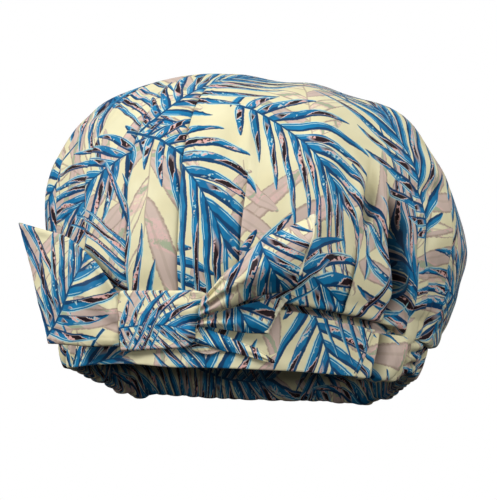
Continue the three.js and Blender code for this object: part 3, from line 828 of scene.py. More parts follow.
def crown_columns():
    """Every column of the crown's grid, in the order of the cloth: its angle, or its pleat, and its place in the fold."""
    cols = []
    span = 5.5 / 1.98
    marks = sorted(EDGES)
    angles = []

    def fill(a, b):
        n = 1
        x = a
        out = []
        while x < b - 1e-6:
            step = 1.0 if x < 30 else 0.6 if x < 96 else 1.0 if x < 300 else 1.2
            out.append(x)
            x += step
        return out

    start = marks[0][0]
    for i, (a, rel, kind) in enumerate(marks):
        nxt = marks[i + 1][0] if i + 1 < len(marks) else start + 360
        n = len(FOLD)
        order = range(n) if kind > 0 else range(n - 1, -1, -1)
        for k, j in enumerate(order):
            x, off = FOLD[j]
            cols.append(("fold", a, rel, kind, x * kind, off, lerp(-5.5, 5.5, k / (n - 1)), j))
        lo, hi = a + span, nxt - span
        inner = fill(lo, hi)[1:]
        if inner and hi - inner[-1] < 0.4:
            inner.pop()
        for x in inner:
            cols.append(("plain", x, 0, 0, 0, 0, 0, 0))
    return cols


def fold_open(rel, s):
    return smooth(rel, rel + 0.24, s)


def print_angle(deg, r, rho, s):
    """Angle on the flat cloth of a place on the crown: each panel keeps the cloth's true width round its middle."""
    d = deg_wrap(deg)
    marks = sorted(EDGES)
    ang = [m[0] for m in marks]
    out = d.copy() if isinstance(d, np.ndarray) else np.array(d)
    ratio = np.clip(rho / np.maximum(r, 1e-6), 0.3, 1)
    # panels between two pleats, and the two outer ones that run on into the gathers
    for i in range(len(ang) + 1):
        a = ang[i - 1] if i > 0 else -78
        b = ang[i] if i < len(ang) else 96
        mid = (a + b) / 2
        left = fold_open(marks[i - 1][1], s) if i > 0 else 0 * s
        rightw = fold_open(marks[i][1], s) if i < len(ang) else 0 * s
        keep = np.where(d < mid, lerp(1.0, ratio, left), lerp(1.0, ratio, rightw))
        out = np.where((d >= a) & (d < b), mid + (d - mid) * keep, out)
    return out


def build_crown():
    cols = crown_columns()
    rows = np.concatenate([np.linspace(0.02, 0.40, 25), np.linspace(0.412, MAIN, 56), np.linspace(MAIN, 1, 44)[1:]])
    nc, nr = len(cols), len(rows)
    s = np.broadcast_to(rows[None, :], (nc, nr)).copy()
    deg = np.zeros((nc, nr))
    off = np.zeros((nc, nr))
    opened = np.zeros((nc, nr))
    for i, (what, a, rel, kind, x, o, xu, j) in enumerate(cols):
        if what == "plain":
            deg[i] = a
        else:
            k = fold_open(rel, rows)
            deg[i] = a + lerp(xu, x, k) / 1.98
            off[i] = o * k ** 0.7 * 1.15
            opened[i] = k
    # panels slope from their top edge down to the next fold
    d = deg_wrap(deg)
    marks = sorted(EDGES)
    for i in range(len(marks) - 1):
        a, b = marks[i], marks[i + 1]
        if a[2] > 0:
            k = np.clip((d - a[0]) / 14, 0, 1)
            inside = (d > a[0] + 5.5 / 1.98) & (d < b[0] - 5.5 / 1.98)
            off += np.where(inside, 0.5 * 1.15 * fold_open(a[1], s) * (1 - smooth(5.5 / 1.98 / 14, 1, k)), 0)
        if b[2] < 0:
            k = np.clip((b[0] - d) / 14, 0, 1)
            inside = (d > a[0] + 5.5 / 1.98) & (d < b[0] - 5.5 / 1.98)
            off += np.where(inside, 0.5 * 1.15 * fold_open(b[1], s) * (1 - smooth(5.5 / 1.98 / 14, 1, k)), 0)
    # towards the seam the right side's folds lean back
    p, n = crown_frame(deg + 3.7 * smooth(42, 49, deg) * (1 - smooth(80, 112, deg)) * smooth(0.70, 0.84, s), s)
    relief = crown_relief(deg, s)
    seam = 1 - smooth(0.93, 1.0, s) * 0.7
    near_top = smooth(0.0, 0.12, s)
    out = (relief * near_top + off) * seam
    last = int(np.searchsorted(rows, MAIN + 1e-9)) - 1
    k = np.clip((s - MAIN) / (1 - MAIN), 0, 1)
    rear = smooth(56, 66, np.abs(deg_wrap(deg)))
    turned = np.clip(lerp(tuck_at(TUCK_FRONT, k)[0], tuck_at(TUCK_SIDE, k)[0], rear), 0, 1)
    below = np.arange(nr) > last
    n = np.where((below | (np.arange(nr) == last))[None, :, None], n[:, last - 1:last], n)
    out = np.where(below[None, :], out[:, last:last + 1] * (1 - turned) + 0.35 * (out - out[:, last:last + 1]) * turned * (1 - turned), out)
    points = p + n * out[..., None]
    points[:, :, 2] = np.maximum(points[:, :, 2], 17.5)
    # way along the cloth from the crown's middle, and the place on the flat cloth
    seg = np.linalg.norm(np.diff(p, axis=1), axis=-1)
    first = np.linalg.norm(p[:, :1] - np.array([0, CROWN_CY, TOP]), axis=-1)
    r = np.concatenate([first, first + np.cumsum(seg, axis=1)], axis=1)
    rho = np.hypot(p[..., 0], p[..., 1] - CROWN_CY)
    phi = print_angle(deg, r, rho, s)
    for i, (what, a, rel, kind, x, o, xu, j) in enumerate(cols):
        if what != "fold":
            continue
        e = 0.02
        aa = np.full(nr, float(a))
        lo = print_angle(aa - e, r[i], rho[i], rows)
        hi = print_angle(aa + e, r[i], rho[i], rows)
        if kind > 0:
            under, top = lo, hi
        else:
            under, top = hi, lo
        # hidden columns share out the cloth that the fold takes up
        if j <= 4:
            flat = print_angle(deg[i], r[i], rho[i], rows)
            flat = np.where(kind * (deg[i] - a) < 0, flat, under)
        elif j >= FOLD_EDGE:
            flat = top + (print_angle(np.maximum(kind * (deg[i] - a), 0.0) * kind + a + kind * e, r[i], rho[i], rows) - top)
        else:
            flat = lerp(under, top, (j - 4) / (FOLD_EDGE - 4))
        phi[i] = lerp(deg_wrap(deg[i]), flat, opened[i])
    f = phi * DEG
    cloth = np.stack([r * np.sin(f), -r * np.cos(f)], -1) * MM
    pts = points.reshape(-1, 3)
    faces = grid_faces(nc, nr, wrap_u=True)
    top = len(pts)
    pts = np.vstack([pts, [[0, CROWN_CY, TOP]]])
    cap = [(top, ((i + 1) % nc) * nr, i * nr) for i in range(nc)]
    cl = np.vstack([cloth.reshape(-1, 2), [[0, 0]]])
    k = np.clip((s - MAIN) / (1 - MAIN), 0, 1)
    away = np.abs(deg_wrap(deg))
    # painted shade: the tuck above the band, deep creases, the hidden pleat folds and the deep fold's walls are
    # darkened through this mask
    nook = np.exp(-(((k - 0.46) / 0.10) ** 2)) * (1 - smooth(55, 62, away)) + 0.55 * np.exp(-(((k - 0.74) / 0.13) ** 2))
    painted_crease_shade = np.clip(np.maximum(smooth(2.0, 8.0, -relief), nook), 0, 1) * smooth(0.3, 0.45, s)
    painted_crease_shade = np.maximum(painted_crease_shade, 0.5 * opened * (off < -0.8))
    # painted shade on the walls of the deep fold, and of the slack fold beside it
    d = deg_wrap(deg)
    gorge = (np.abs(d - 50.9) < 5.2) * smooth(0.58, 0.67, s) * (1 - smooth(MAIN - 0.01, MAIN + 0.04, s))
    slack = 0.8 * (np.abs(d - 43.8 + 26 * (s - 0.575)) < 3.6) * smooth(0.56, 0.64, s) * (1 - smooth(0.69, 0.71, s))
    lip = smooth(0.60, 0.68, s) * (1 - smooth(0.80, 0.86, s)) * (d > 49.5) * (1 - smooth(53.8 + 3.0 * (s - 0.7), 55.0 + 3.0 * (s - 0.7), d))
    painted_crease_shade = np.maximum(painted_crease_shade, np.maximum(gorge * smooth(0.6, 3.6, -relief), slack * smooth(0.8, 3.8, -relief)))
    painted_crease_shade = np.maximum(painted_crease_shade, 0.92 * lip)
    ob = mesh_object("crown_cloth", pts, list(map(tuple, faces)) + cap, cl, cl, {"painted_crease_shade": np.r_[painted_crease_shade.reshape(-1), 0]})
    return outward_open(ob, (0, CROWN_CY, 80)), p, n


def outward_open(ob, inner):
    """Turns the faces of an open dome away from a point inside it."""
    me = ob.data
    c = np.array(inner) * MM
    n = len(me.polygons)
    nor, cen = np.zeros(n * 3), np.zeros(n * 3)
    me.polygons.foreach_get("normal", nor)
    me.polygons.foreach_get("center", cen)
    if ((nor.reshape(-1, 3)) * (cen.reshape(-1, 3) - c)).sum() < 0:
        me.flip_normals()
    return ob


crown, crown_p, crown_n = build_crown()
crown.data.materials.append(printed("printed_satin_crown", 0.0, (0.02, 0.30)))


def build_liner():
    """The waterproof lining, a little inside the crown and clear of its folds."""
    deg = np.arange(0, 360, 3.0)
    rows = np.concatenate([np.linspace(0.03, 0.8, 34), np.linspace(0.82, 0.99, 10)])
    g, q = np.meshgrid(deg, rows, indexing="ij")
    t = g * DEG
    sn, cs = np.sin(t), np.cos(t)
    xr, zr = P_RIGHT.at(q)
    xl, zl = P_LEFT.at(q)
    yf, zf = P_FRONT.at(q)
    yb, zb = P_BACK.at(q)
    x, zx = np.where(sn >= 0, xr, xl), np.where(sn >= 0, zr, zl)
    y, zy = np.where(cs >= 0, yf, yb), np.where(cs >= 0, zf, zb)
    d = deg_wrap(g)
    v = (d - VALLEY + 2.2) / 9
    crinkle = wave(21, 20, 12, 45)(g * 1.9, q * 230) * 0.9 * smooth(0.1, 0.4, q)
    drop = 3.6 + 3.2 * smooth(0.3, 0.8, q) + 15.5 * smooth(0.38, 0.66, q) * np.exp(-v * v) + crinkle
    drop = drop + 2.0 + 3.2 * smooth(0.0, 0.08, q) * (1 - smooth(0.80, 0.95, q))
    z = zx * sn * sn + zy * cs * cs
    upw = 1 - smooth(0.1, 0.75, q)
    px = (x - drop * (1 - upw * 0.6)) * sn
    p = np.stack([px, CROWN_CY - (y - drop * (1 - upw * 0.6)) * cs, sunk(px, z) - drop * upw], -1)
    pts = p.reshape(-1, 3)
    faces = list(map(tuple, grid_faces(len(deg), len(rows), wrap_u=True)))
    top = len(pts)
    pts = np.vstack([pts, [[0, CROWN_CY, TOP - 5.8]]])
    faces += [(top, ((i + 1) % len(deg)) * len(rows), i * len(rows)) for i in range(len(deg))]
    rr = q * 232
    flat = np.vstack([np.stack([rr * np.sin(t), -rr * np.cos(t)], -1).reshape(-1, 2), [[0, 0]]]) * MM
    ob = mesh_object("crown_waterproof_lining", pts, faces, flat, flat)
    outward_open(ob, (0, CROWN_CY, 80))
    ob.data.materials.append(MATS["film"])
    return ob


liner = build_liner()


# ---------------------------------------------------------------- swept pieces
def sweep(name, rings, closed_ends=True, cloth=None, bake=None, extra=None):
    """A closed tube through rings of points, an array (rings, points, 3)."""
    nu, nv, _ = rings.shape
    pts = rings.reshape(-1, 3)
    faces = list(map(tuple, grid_faces(nu, nv, wrap_v=True)))
    cl = None if cloth is None else cloth.reshape(-1, cloth.shape[-1])
    extra = {key: np.r_[(np.asarray(value) + 0 * rings[..., 0]).reshape(-1), [0.0] * (2 if closed_ends else 0)] for key, value in (extra or {}).items()}
    if closed_ends:
        for ring, flip in ((0, False), (nu - 1, True)):
            centre = len(pts)
            pts = np.vstack([pts, rings[ring].mean(0)[None]])
            if cl is not None:
                cl = np.vstack([cl, cloth[ring].mean(0)[None]])
            for j in range(nv):
                a, b = ring * nv + j, ring * nv + (j + 1) % nv
                faces.append((centre, b, a) if flip else (centre, a, b))
    ob = mesh_object(name, pts, faces, cl, None if bake is None else cl, extra)
    return outward(ob)


def rounded_section(n_long, n_short, r_pow=3.0):
    """Points round a thin rounded bar: (across 0..1, up 0..1), outside face first from low to high."""
    pts = []
    for j in range(n_long):
        pts.append((1.0, lerp(0.04, 0.96, j / (n_long - 1))))
    for j in range(1, n_short):
        a = math.pi * j / n_short
        pts.append((0.5 + 0.5 * math.cos(a), 0.96 + 0.04 * math.sin(a)))
    for j in range(n_long):
        pts.append((0.0, lerp(0.96, 0.04, j / (n_long - 1))))
    for j in range(1, n_short):
        a = math.pi * j / n_short
        pts.append((0.5 - 0.5 * math.cos(a), 0.04 - 0.04 * math.sin(a)))
    return np.array(pts)


def band_layer(name, outside, thickness, low, drop, trim, ripple, seed, lines=True):
    """A layer of the front band, with slanted ends, soft edges and a row of stitches along each edge."""
    nu = 150
    sec = rounded_section(22, 6)
    u = np.linspace(0, 1, nu)[:, None]
    w, v = sec[None, :, 0], sec[None, :, 1]
    t = lerp(trim - lerp(*BAND_END["left"], v), lerp(*BAND_END["right"], v) - trim, u) * DEG
    foot = low + lift(t / DEG)
    z = lerp(foot, band_height(t) - drop, v)
    f1, f2 = wave(seed, 14, 18, 60), wave(seed + 1, 14, 25, 80)
    arc = t * 103
    swell = ripple * f1(arc, z) * (0.4 + 0.6 * v)
    soft = 0.25 * ripple * wave(seed + 2, 14, 7, 16)(arc, z * 1.2)
    face = (w - 0.5) * 2
    groove = 0
    if lines:
        for at in (2.2,):
            groove = groove - 0.22 * np.exp(-(((z - foot - at) / 0.45) ** 2)) - 0.2 * np.exp(-(((band_height(t) - drop - z - at) / 0.45) ** 2))
        stitch = 0.5 + 0.5 * np.sin(arc * 2 * math.pi / 2.6)
        groove = groove * (0.6 + 0.4 * stitch)
    # each end is turned under, so the cloth is doubled there and stands a little proud
    edge = np.minimum(u, 1 - u) * 2 * 52
    if lines:
        swell = swell + np.where(face > 0, 0.45 * (1 - smooth(2.2, 4.0, edge)) - 0.25 * np.exp(-(((edge - 2.4) / 0.5) ** 2)), 0)
    o = outside - thickness * (1 - w) + swell + soft + np.where(face > 0, groove, 0)
    x, y = hem(t, o)
    z = z + np.where(v < 0.06, 0.35 * ripple * f2(arc, 0 * arc), 0) * 0.6
    z = np.maximum(z, 0.02)
    rings = np.stack([x, y, z + 0 * x], -1)
    cloth = np.stack([arc + 0 * z, z + np.where(w < 0.5, 60 - 2 * z, 0)], -1) * MM
    return sweep(name, rings, True, cloth, True)


band = band_layer("front_band_cloth", 0.0, CLOTH, 0.0, 0.0, 0.0, 0.32, 31)
band.data.materials.append(printed("printed_satin_band", math.radians(-20), (0.205, 0.085)))
facing = band_layer("front_band_inner_facing", -CLOTH - 1.6, 0.9, 0.5, 1.0, 0.3, 0.12, 41)
facing.data.materials.append(printed("printed_satin_facing", math.radians(-30), (0.05, 0.14)))


# ---------------------------------------------------------------- elastic casing, ruched
def build_casing():
    lo_deg, hi_deg = 50.0, 306.0
    deg = np.concatenate([np.arange(lo_deg, 112, 0.36), np.arange(112, hi_deg + 1e-6, 0.45)])
    sec = rounded_section(19, 7)
    w, v = sec[None, :, 0], sec[None, :, 1]
    g = deg[:, None] + 0 * v
    # the ends follow the slant of the band's ends, tucked behind them
    first = lerp(*BAND_END["right"], v) - 0.8
    last = 360 - lerp(*BAND_END["left"], v) + 0.8
    g = g + (first - lo_deg) * smooth(58, lo_deg, deg)[:, None] + (last - hi_deg) * smooth(296, hi_deg, deg)[:, None]
    h = casing_height(g)
    z0 = v * h
    valley = np.zeros_like(g)
    small = np.zeros_like(g)
    r = np.random.default_rng(19)
    left_b, right_b = 53.7 + 3.7 * v, 59.5 + 12.0 * v ** 0.65  # borders of the big slanted lobe next to the band
    q = (g - left_b) / (right_b - left_b)
    calm = 1 - 0.92 * smooth(-0.25, 0.05, q) * smooth(1.2, 0.95, q)  # it is smooth but for fine wrinkles
    for a, depth, reach, width, slope in CREASES:
        skew = r.uniform(-0.16, 0.16)
        x = (g - a) * 1.84 - skew * (z0 - h)
        valley += (0.9 + 0.35 * depth) * np.exp(-np.abs(x / (1.5 + 0.35 * width)) ** 1.5)
    for a in np.arange(57, 303, 2.9):
        b = a + r.uniform(-1.1, 1.1)
        x = (g - b) * 1.84 - r.uniform(-0.3, 0.3) * (z0 - h * 0.5)
        small += r.uniform(0.2, 0.9) * np.exp(-np.abs(x / 0.9) ** 1.5) * np.exp(-(((v - r.uniform(0, 1)) / 0.45) ** 2))
    valley, small = valley * calm, small * calm
    big = 5.2 * np.clip(1 - np.abs(2 * q - 1) ** 2.6, 0, 1) ** 0.7
    big = big + 3.8 * np.exp(-(((g - 79.5) / 5.6) ** 2)) + 2.6 * np.exp(-(((g - 92) / 5.0) ** 2)) + 2.0 * np.exp(-(((g - 104) / 5.0) ** 2))
    big = big + 3.0 * np.exp(-(((g - 290) / 5.0) ** 2)) + 2.4 * np.exp(-(((g - 276) / 6.5) ** 2))
    big = big + 1.6 * np.exp(-(((g - (first + 0.45 * (left_b - first))) / 1.1) ** 2))
    cut = 4.6 * np.exp(-np.abs((g - left_b) / 1.1) ** 1.6) + 5.4 * np.exp(-np.abs((g - right_b) / 1.25) ** 1.6)
    cut += 3.0 * np.exp(-np.abs((g - 86.5 - 0.2 * (z0 - 12)) / 1.3) ** 1.6) + 2.4 * np.exp(-np.abs((g - 98 + 0.12 * (z0 - 12)) / 1.4) ** 1.6)
    cut += 2.6 * np.exp(-np.abs((g - 297 - 0.3 * (z0 - 12)) / 1.3) ** 1.6)
    # level folds beside the big lobe, where the cloth is caught
    level = 0.5 + 0.5 * np.cos(z0 * 2 * math.pi / 6.6 + 0.16 * (g - 79))
    cut += 2.6 * np.exp(-(((g - 79) / 6.0) ** 2)) * level ** 2.2
    # fine wrinkles that run down the big lobe from its upper corner
    fan = np.arctan2((g - left_b + 3.0) * 1.84, (h + 22 - z0))
    fine = (0.62 * np.abs(np.sin(fan * 33 + 1.2 * np.sin(fan * 9))) ** 0.7 + 0.25 * np.sin(fan * 117 + z0 * 0.25)) * smooth(-0.02, 0.15, q) * smooth(1.0, 0.85, q)
    lobes = 2.0 - valley - small + big - cut + fine
    puff = np.sin(math.pi * np.clip(v, 0, 1)) ** 0.6
    ends = smooth(0, 4.0, g - first) * smooth(0, 4.0, last - g)
    outer = lobes * (0.4 + 0.6 * puff) * ends
    inner = -(0.7 * (lobes - big * 0.6) - 0.6) * 0.55 * puff * ends
    o = -CASING_T * (1 - w) + np.where(w > 0.5, outer, inner) * np.abs(w - 0.5) * 2
    # the open ends lie flat behind the band's ends
    o = lerp(np.minimum(o, -CLOTH - 0.3 + 0 * o) * 0.5 - 1.2, o, ends) - turn_in(g) * (1 - v)
    # lumps of caught cloth along the lower edge at the back
    lump = 3.2 * np.exp(-(((g - 144) / 4.6) ** 2)) + 2.2 * np.exp(-(((g - 131) / 4.0) ** 2)) + 4.4 * np.exp(-(((g - 229) / 3.6) ** 2)) + 2.6 * np.exp(-(((g - 238) / 3.6) ** 2)) + 1.4 * np.exp(-(((g - 154) / 4.6) ** 2))
    pull = 0.55 - 0.27 * smooth(120, 132, g) * (1 - smooth(232, 246, g))
    z = z0 + lift(g) + np.where(v < 0.5, (pull * (valley + small + cut) - 0.75 - 0.16 * big - lump) * (1 - v * 2) * ends, (-0.25 * valley) * (v * 2 - 1) * ends)
    # the right side turns in under the crown
    o = o - 2.6 * (1 - v) * smooth(64, 76, g) * (1 - smooth(106, 128, g))
    x, y = hem(g * DEG, o)
    z = np.where(z < -1.6, -1.6 - 3.4 * np.tanh((-1.6 - z) / 3.4), z)
    rings = np.stack([x, y, z], -1)
    along = g * DEG * 103 * 1.85
    across = np.where(w > 0.5, z0, 50 - z0)
    cloth = np.stack([along, across + 0 * along], -1) * MM
    # painted shade in the casing's valleys, small folds and cuts
    painted_crease_shade = np.clip((valley * 0.5 + small * 0.4 + cut) / 5.0, 0, 1) * ends * np.abs(w - 0.5) * 2
    # painted shade: the inner face is darkened towards its top, where it meets the lining
    painted_crease_shade = np.maximum(painted_crease_shade, 0.9 * smooth(0.30, 0.72, v) * smooth(0.45, 0.2, w) + 0 * g)
    return sweep("elastic_casing_cloth", rings, True, cloth, True, {"painted_crease_shade": painted_crease_shade})


casing = build_casing()
casing.data.materials.append(printed("printed_satin_casing", math.radians(90), (0.256, 0.181)))


# the flat elastic inside the casing
def build_elastic():
    nu = 220
    sec = rounded_section(7, 4)
    u = np.linspace(0, 1, nu)[:, None]
    w, v = sec[None, :, 0], sec[None, :, 1]
    deg = lerp(CASING_START["right"] + 0.2, 359.8 - CASING_START["left"], u) + 0 * v
    ribs = 0.12 * np.sin(v * 11 * 2 * math.pi)
    h = casing_height(deg)
    z = h / 2 + 11 * (v - 0.5) + 0.3
    o = -CASING_T / 2 + 1.6 * (w - 0.5) + ribs * (w - 0.5) * 2 + 0.25 * np.sin(deg * 1.7) - turn_in(deg) * (1 - z / h)
    z = z + lift(deg)
    x, y = hem(deg * DEG, o)
    return sweep("elastic_tape", np.stack([x, y, z], -1), True, np.stack([deg * DEG * 103, z], -1) * MM, None)


elastic = build_elastic()
elastic.data.materials.append(MATS["elastic"])


# ---------------------------------------------------------------- bow
def rows_curve(points):
    c = Profile(points)
    return c


def patch_frame(top, bottom, nu, nv, power=1.0):
    """Points between two edge curves, with the normal that faces the front."""
    T, B = rows_curve(top), rows_curve(bottom)
    u = np.linspace(0, 1, nu)
    v = np.linspace(0, 1, nv)
    a, b = np.stack(T.at(u), -1), np.stack(B.at(u), -1)
    p = b[:, None] + (a - b)[:, None] * v[None, :, None]
    du, dv = np.gradient(p, axis=0), np.gradient(p, axis=1)
    n = np.cross(du, dv)
    n /= np.maximum(np.linalg.norm(n, axis=-1, keepdims=True), 1e-9)
    n = np.where(n[..., 1:2] > 0, -n, n)
    return p, n, u[:, None], v[None, :]


def flat_place(p):
    """Places of the points on the cloth, by laying the patch on its own best plane."""
    q = p.reshape(-1, 3)
    c = q.mean(0)
    _, _, axes = np.linalg.svd(q - c, full_matrices=False)
    a = axes[0] * (1 if axes[0][0] > 0 else -1)
    nrm = axes[2]
    b = np.cross(nrm, a)
    b = b * (1 if b[2] > 0 else -1)
    return np.stack([(q - c) @ a, (q - c) @ b], -1).reshape(p.shape[:-1] + (2,))


def two_sided(name, front, back, cloth, material_front, material_back=None, rim=0.0):
    """A closed piece from a front and a back grid of the same size, with a rounded edge between them."""
    nu, nv, _ = front.shape
    loop = [(i, 0) for i in range(nu)] + [(nu - 1, j) for j in range(1, nv)] + [(i, nv - 1) for i in range(nu - 2, -1, -1)] + [(0, j) for j in range(nv - 2, 0, -1)]
    pts = [front.reshape(-1, 3), back.reshape(-1, 3)]
    cl = [cloth.reshape(-1, 2), cloth.reshape(-1, 2)]
    nf = nu * nv
    faces = list(map(tuple, grid_faces(nu, nv))) + list(map(tuple, grid_faces(nu, nv, base=nf, flip=True)))
    # one row between, pushed out a little, for a soft edge
    centre = front.mean((0, 1))
    mids, mcl = [], []
    for i, j in loop:
        m = (front[i, j] + back[i, j]) / 2
        gap = np.linalg.norm(front[i, j] - back[i, j])
        ii, jj = min(max(i, 1), nu - 2), min(max(j, 1), nv - 2)
        d = front[i, j] - front[ii, jj]
        d = d / max(np.linalg.norm(d), 1e-9)
        mids.append(m + d * (gap * 0.3 + rim))
        mcl.append(cloth[i, j])
    base = 2 * nf
    pts.append(np.array(mids))
    cl.append(np.array(mcl))
    m = len(loop)
    for k in range(m):
        (i, j), (i2, j2) = loop[k], loop[(k + 1) % m]
        a, b = i * nv + j, i2 * nv + j2
        c, c2 = base + k, base + (k + 1) % m
        faces += [(a, b, c2, c), (c, c2, nf + b, nf + a)]
    ob = mesh_object(name, np.vstack(pts), faces, np.vstack(cl), None)
    outward(ob)
    ob.data.materials.append(material_front)
    return ob


def edge_ways(p):
    """Distance of each point of a patch from its four edges, in mm: start, end, bottom, top."""
    su = np.linalg.norm(np.diff(p, axis=0), axis=-1)
    lu = np.concatenate([np.zeros((1, p.shape[1])), np.cumsum(su, axis=0)])
    sv = np.linalg.norm(np.diff(p, axis=1), axis=-1)
    lv = np.concatenate([np.zeros((p.shape[0], 1)), np.cumsum(sv, axis=1)], axis=1)
    return lu, lu[-1:] - lu, lv, lv[:, -1:] - lv


def hem_relief(ways, which, at=4.2, depth=0.28, proud=0.35):
    """A turned edge: cloth is doubled from the edge to the stitches, with a small groove where they pull in."""
    out = 0
    for k in which:
        d = ways[k]
        out = out + proud * (1 - smooth(at - 0.4, at + 0.6, d)) - depth * np.exp(-(((d - at) / 0.5) ** 2))
    return out


# left tail: leaves the strip's left edge and flares to a slanted end
TAIL_TOP = [[-51.6, -102.6, 39.0], [-53.2, -103.2, 41.2], [-58.5, -102.5, 49.0], [-65.5, -100.0, 56.6], [-81.4, -93.0, 68.9], [-97.1, -86.5, 74.1], [-111.4, -80.6, 78.4]]
TAIL_BOTTOM = [[-50.6, -98.8, 11.2], [-52.4, -99.5, 11.4], [-58.3, -98.6, 11.3], [-67.2, -95.6, 11.2], [-79.1, -91.5, 12.2], [-85.2, -89.0, 12.8], [-92.0, -86.3, 13.3]]


def build_tail_left():
    p, n, u, v = patch_frame(TAIL_TOP, TAIL_BOTTOM, 64, 52)
    ways = edge_ways(p)
    f = wave(51, 16, 22, 60)
    g = wave(52, 20, 8, 20)
    x, z = p[..., 0], p[..., 2]
    belly = 3.2 * np.sin(math.pi * u ** 0.8) * np.sin(math.pi * v) ** 0.8
    # folds that run out from the pinched root, and a soft dent beside it
    root = np.exp(-((u / 0.34) ** 2))
    rays = 1.5 * root * np.cos((v - 0.55) * 2 * math.pi * 2.1) * smooth(0, 0.06, u)
    dent = -1.8 * np.exp(-(((u - 0.13) / 0.08) ** 2)) * np.exp(-(((v - 0.62) / 0.22) ** 2))
    fall = 0.55 * f(x, z) * smooth(0, 0.2, u) + 0.12 * g(x, z)
    h = belly + rays + dent + fall
    lift = hem_relief(ways, (1, 2, 3), 3.6)
    front = p + n * (h + 0.75 + lift)[..., None]
    backp = p + n * (h * 0.9 - 0.75)[..., None]
    return two_sided("bow_left_tail_cloth", front, backp, flat_place(p) * MM, printed("printed_satin_left_tail", math.radians(-27), (0.2058, 0.0746)))


tail_left = build_tail_left()

WRAP_TOP = [[-52.2, -100.6, 39.9], [-46, -102.6, 40.0], [-39.3, -104.2, 39.9], [-27.7, -107.8, 39.8], [-17, -111, 39.6], [-9, -113.2, 39.6], [-3.4, -113.6, 38.6], [0.0, -112.6, 36.9]]
WRAP_BOTTOM = [[-48.6, -98.6, 9.2], [-44, -99.6, 9.2], [-37, -101.2, 9.5], [-27.2, -104.4, 10.0], [-17, -107.8, 10.3], [-11.6, -109.6, 10.6], [-7.6, -110.4, 11.8], [-5.4, -110.0, 14.0]]


WRAP_AT = (325 / 800 * PERIOD, 362 / 800 * PERIOD)


def build_wrap():
    """The wide flat wrap: soft, pressed, drawn in at its right edge where the wing leaves it."""
    p, n, u, v = patch_frame(WRAP_TOP, WRAP_BOTTOM, 84, 44)
    # below the pinch the right edge is drawn in
    p = p + np.array([-1.0, 0.30, 0.0]) * (smooth(0.70, 1.0, u) * (4.6 - 1.6 * (1 - smooth(0.0, 0.3, v))) * (1 - smooth(0.60, 0.98, v)))[..., None]
    ways = edge_ways(p)
    f = wave(61, 14, 16, 48)
    g = wave(62, 16, 7, 18)
    x, z = p[..., 0], p[..., 2]
    h = 1.3 * np.sin(math.pi * v) * (0.7 + 0.3 * np.sin(math.pi * u)) + 0.26 * f(x, z) + 0.06 * g(x, z)
    # slack folds that run to the pinch at the upper right
    pinch = smooth(0.45, 0.95, u)
    h = h + pinch * (0.9 * np.cos((v - 0.62 - 0.30 * (1 - u)) * 2 * math.pi * 2.3) + 0.8)
    h = h - 1.0 * np.exp(-(((v - 0.80 + 0.30 * (1 - u)) / 0.045) ** 2)) * smooth(0.3, 0.8, u)
    lift_ = hem_relief(ways, (2, 3), 2.4, 0.18, 0.2)
    front = p + n * (h + 1.1 + lift_)[..., None]
    # the right edge rolls back to the crown
    turn = smooth(0.93, 1.0, u)
    front = front + np.array([0, 1.0, 0]) * (2.2 * turn * turn)[..., None]
    backp = p + n * (np.minimum(h * 0.6, 1.0) - 0.8)[..., None]
    # painted light: the last number brightens this piece's colour
    return two_sided("bow_wrap_cloth", front, backp, flat_place(p) * MM, printed("printed_satin_wrap", math.radians(2), (WRAP_AT[0], WRAP_AT[1]), 1.7, 1.12))


wrap = build_wrap()

WING_TOP = [[-2.6, -115.2, 37.4], [-0.3, -116.0, 38.8], [9.1, -120, 49.3], [17.3, -122.5, 55.2], [28.8, -123.6, 66.3], [40.6, -122.4, 72.6], [48.1, -120.4, 76.6], [54.4, -117.6, 80.0]]
WING_BOTTOM = [[-5.2, -112.8, 25.8], [-1.4, -114.2, 27.2], [7.3, -115.6, 30.8], [14.4, -116.6, 33.6], [22.5, -117.4, 37.2], [30.4, -117.6, 39.6], [40.8, -117.2, 41.6], [47.4, -116.6, 45.0]]


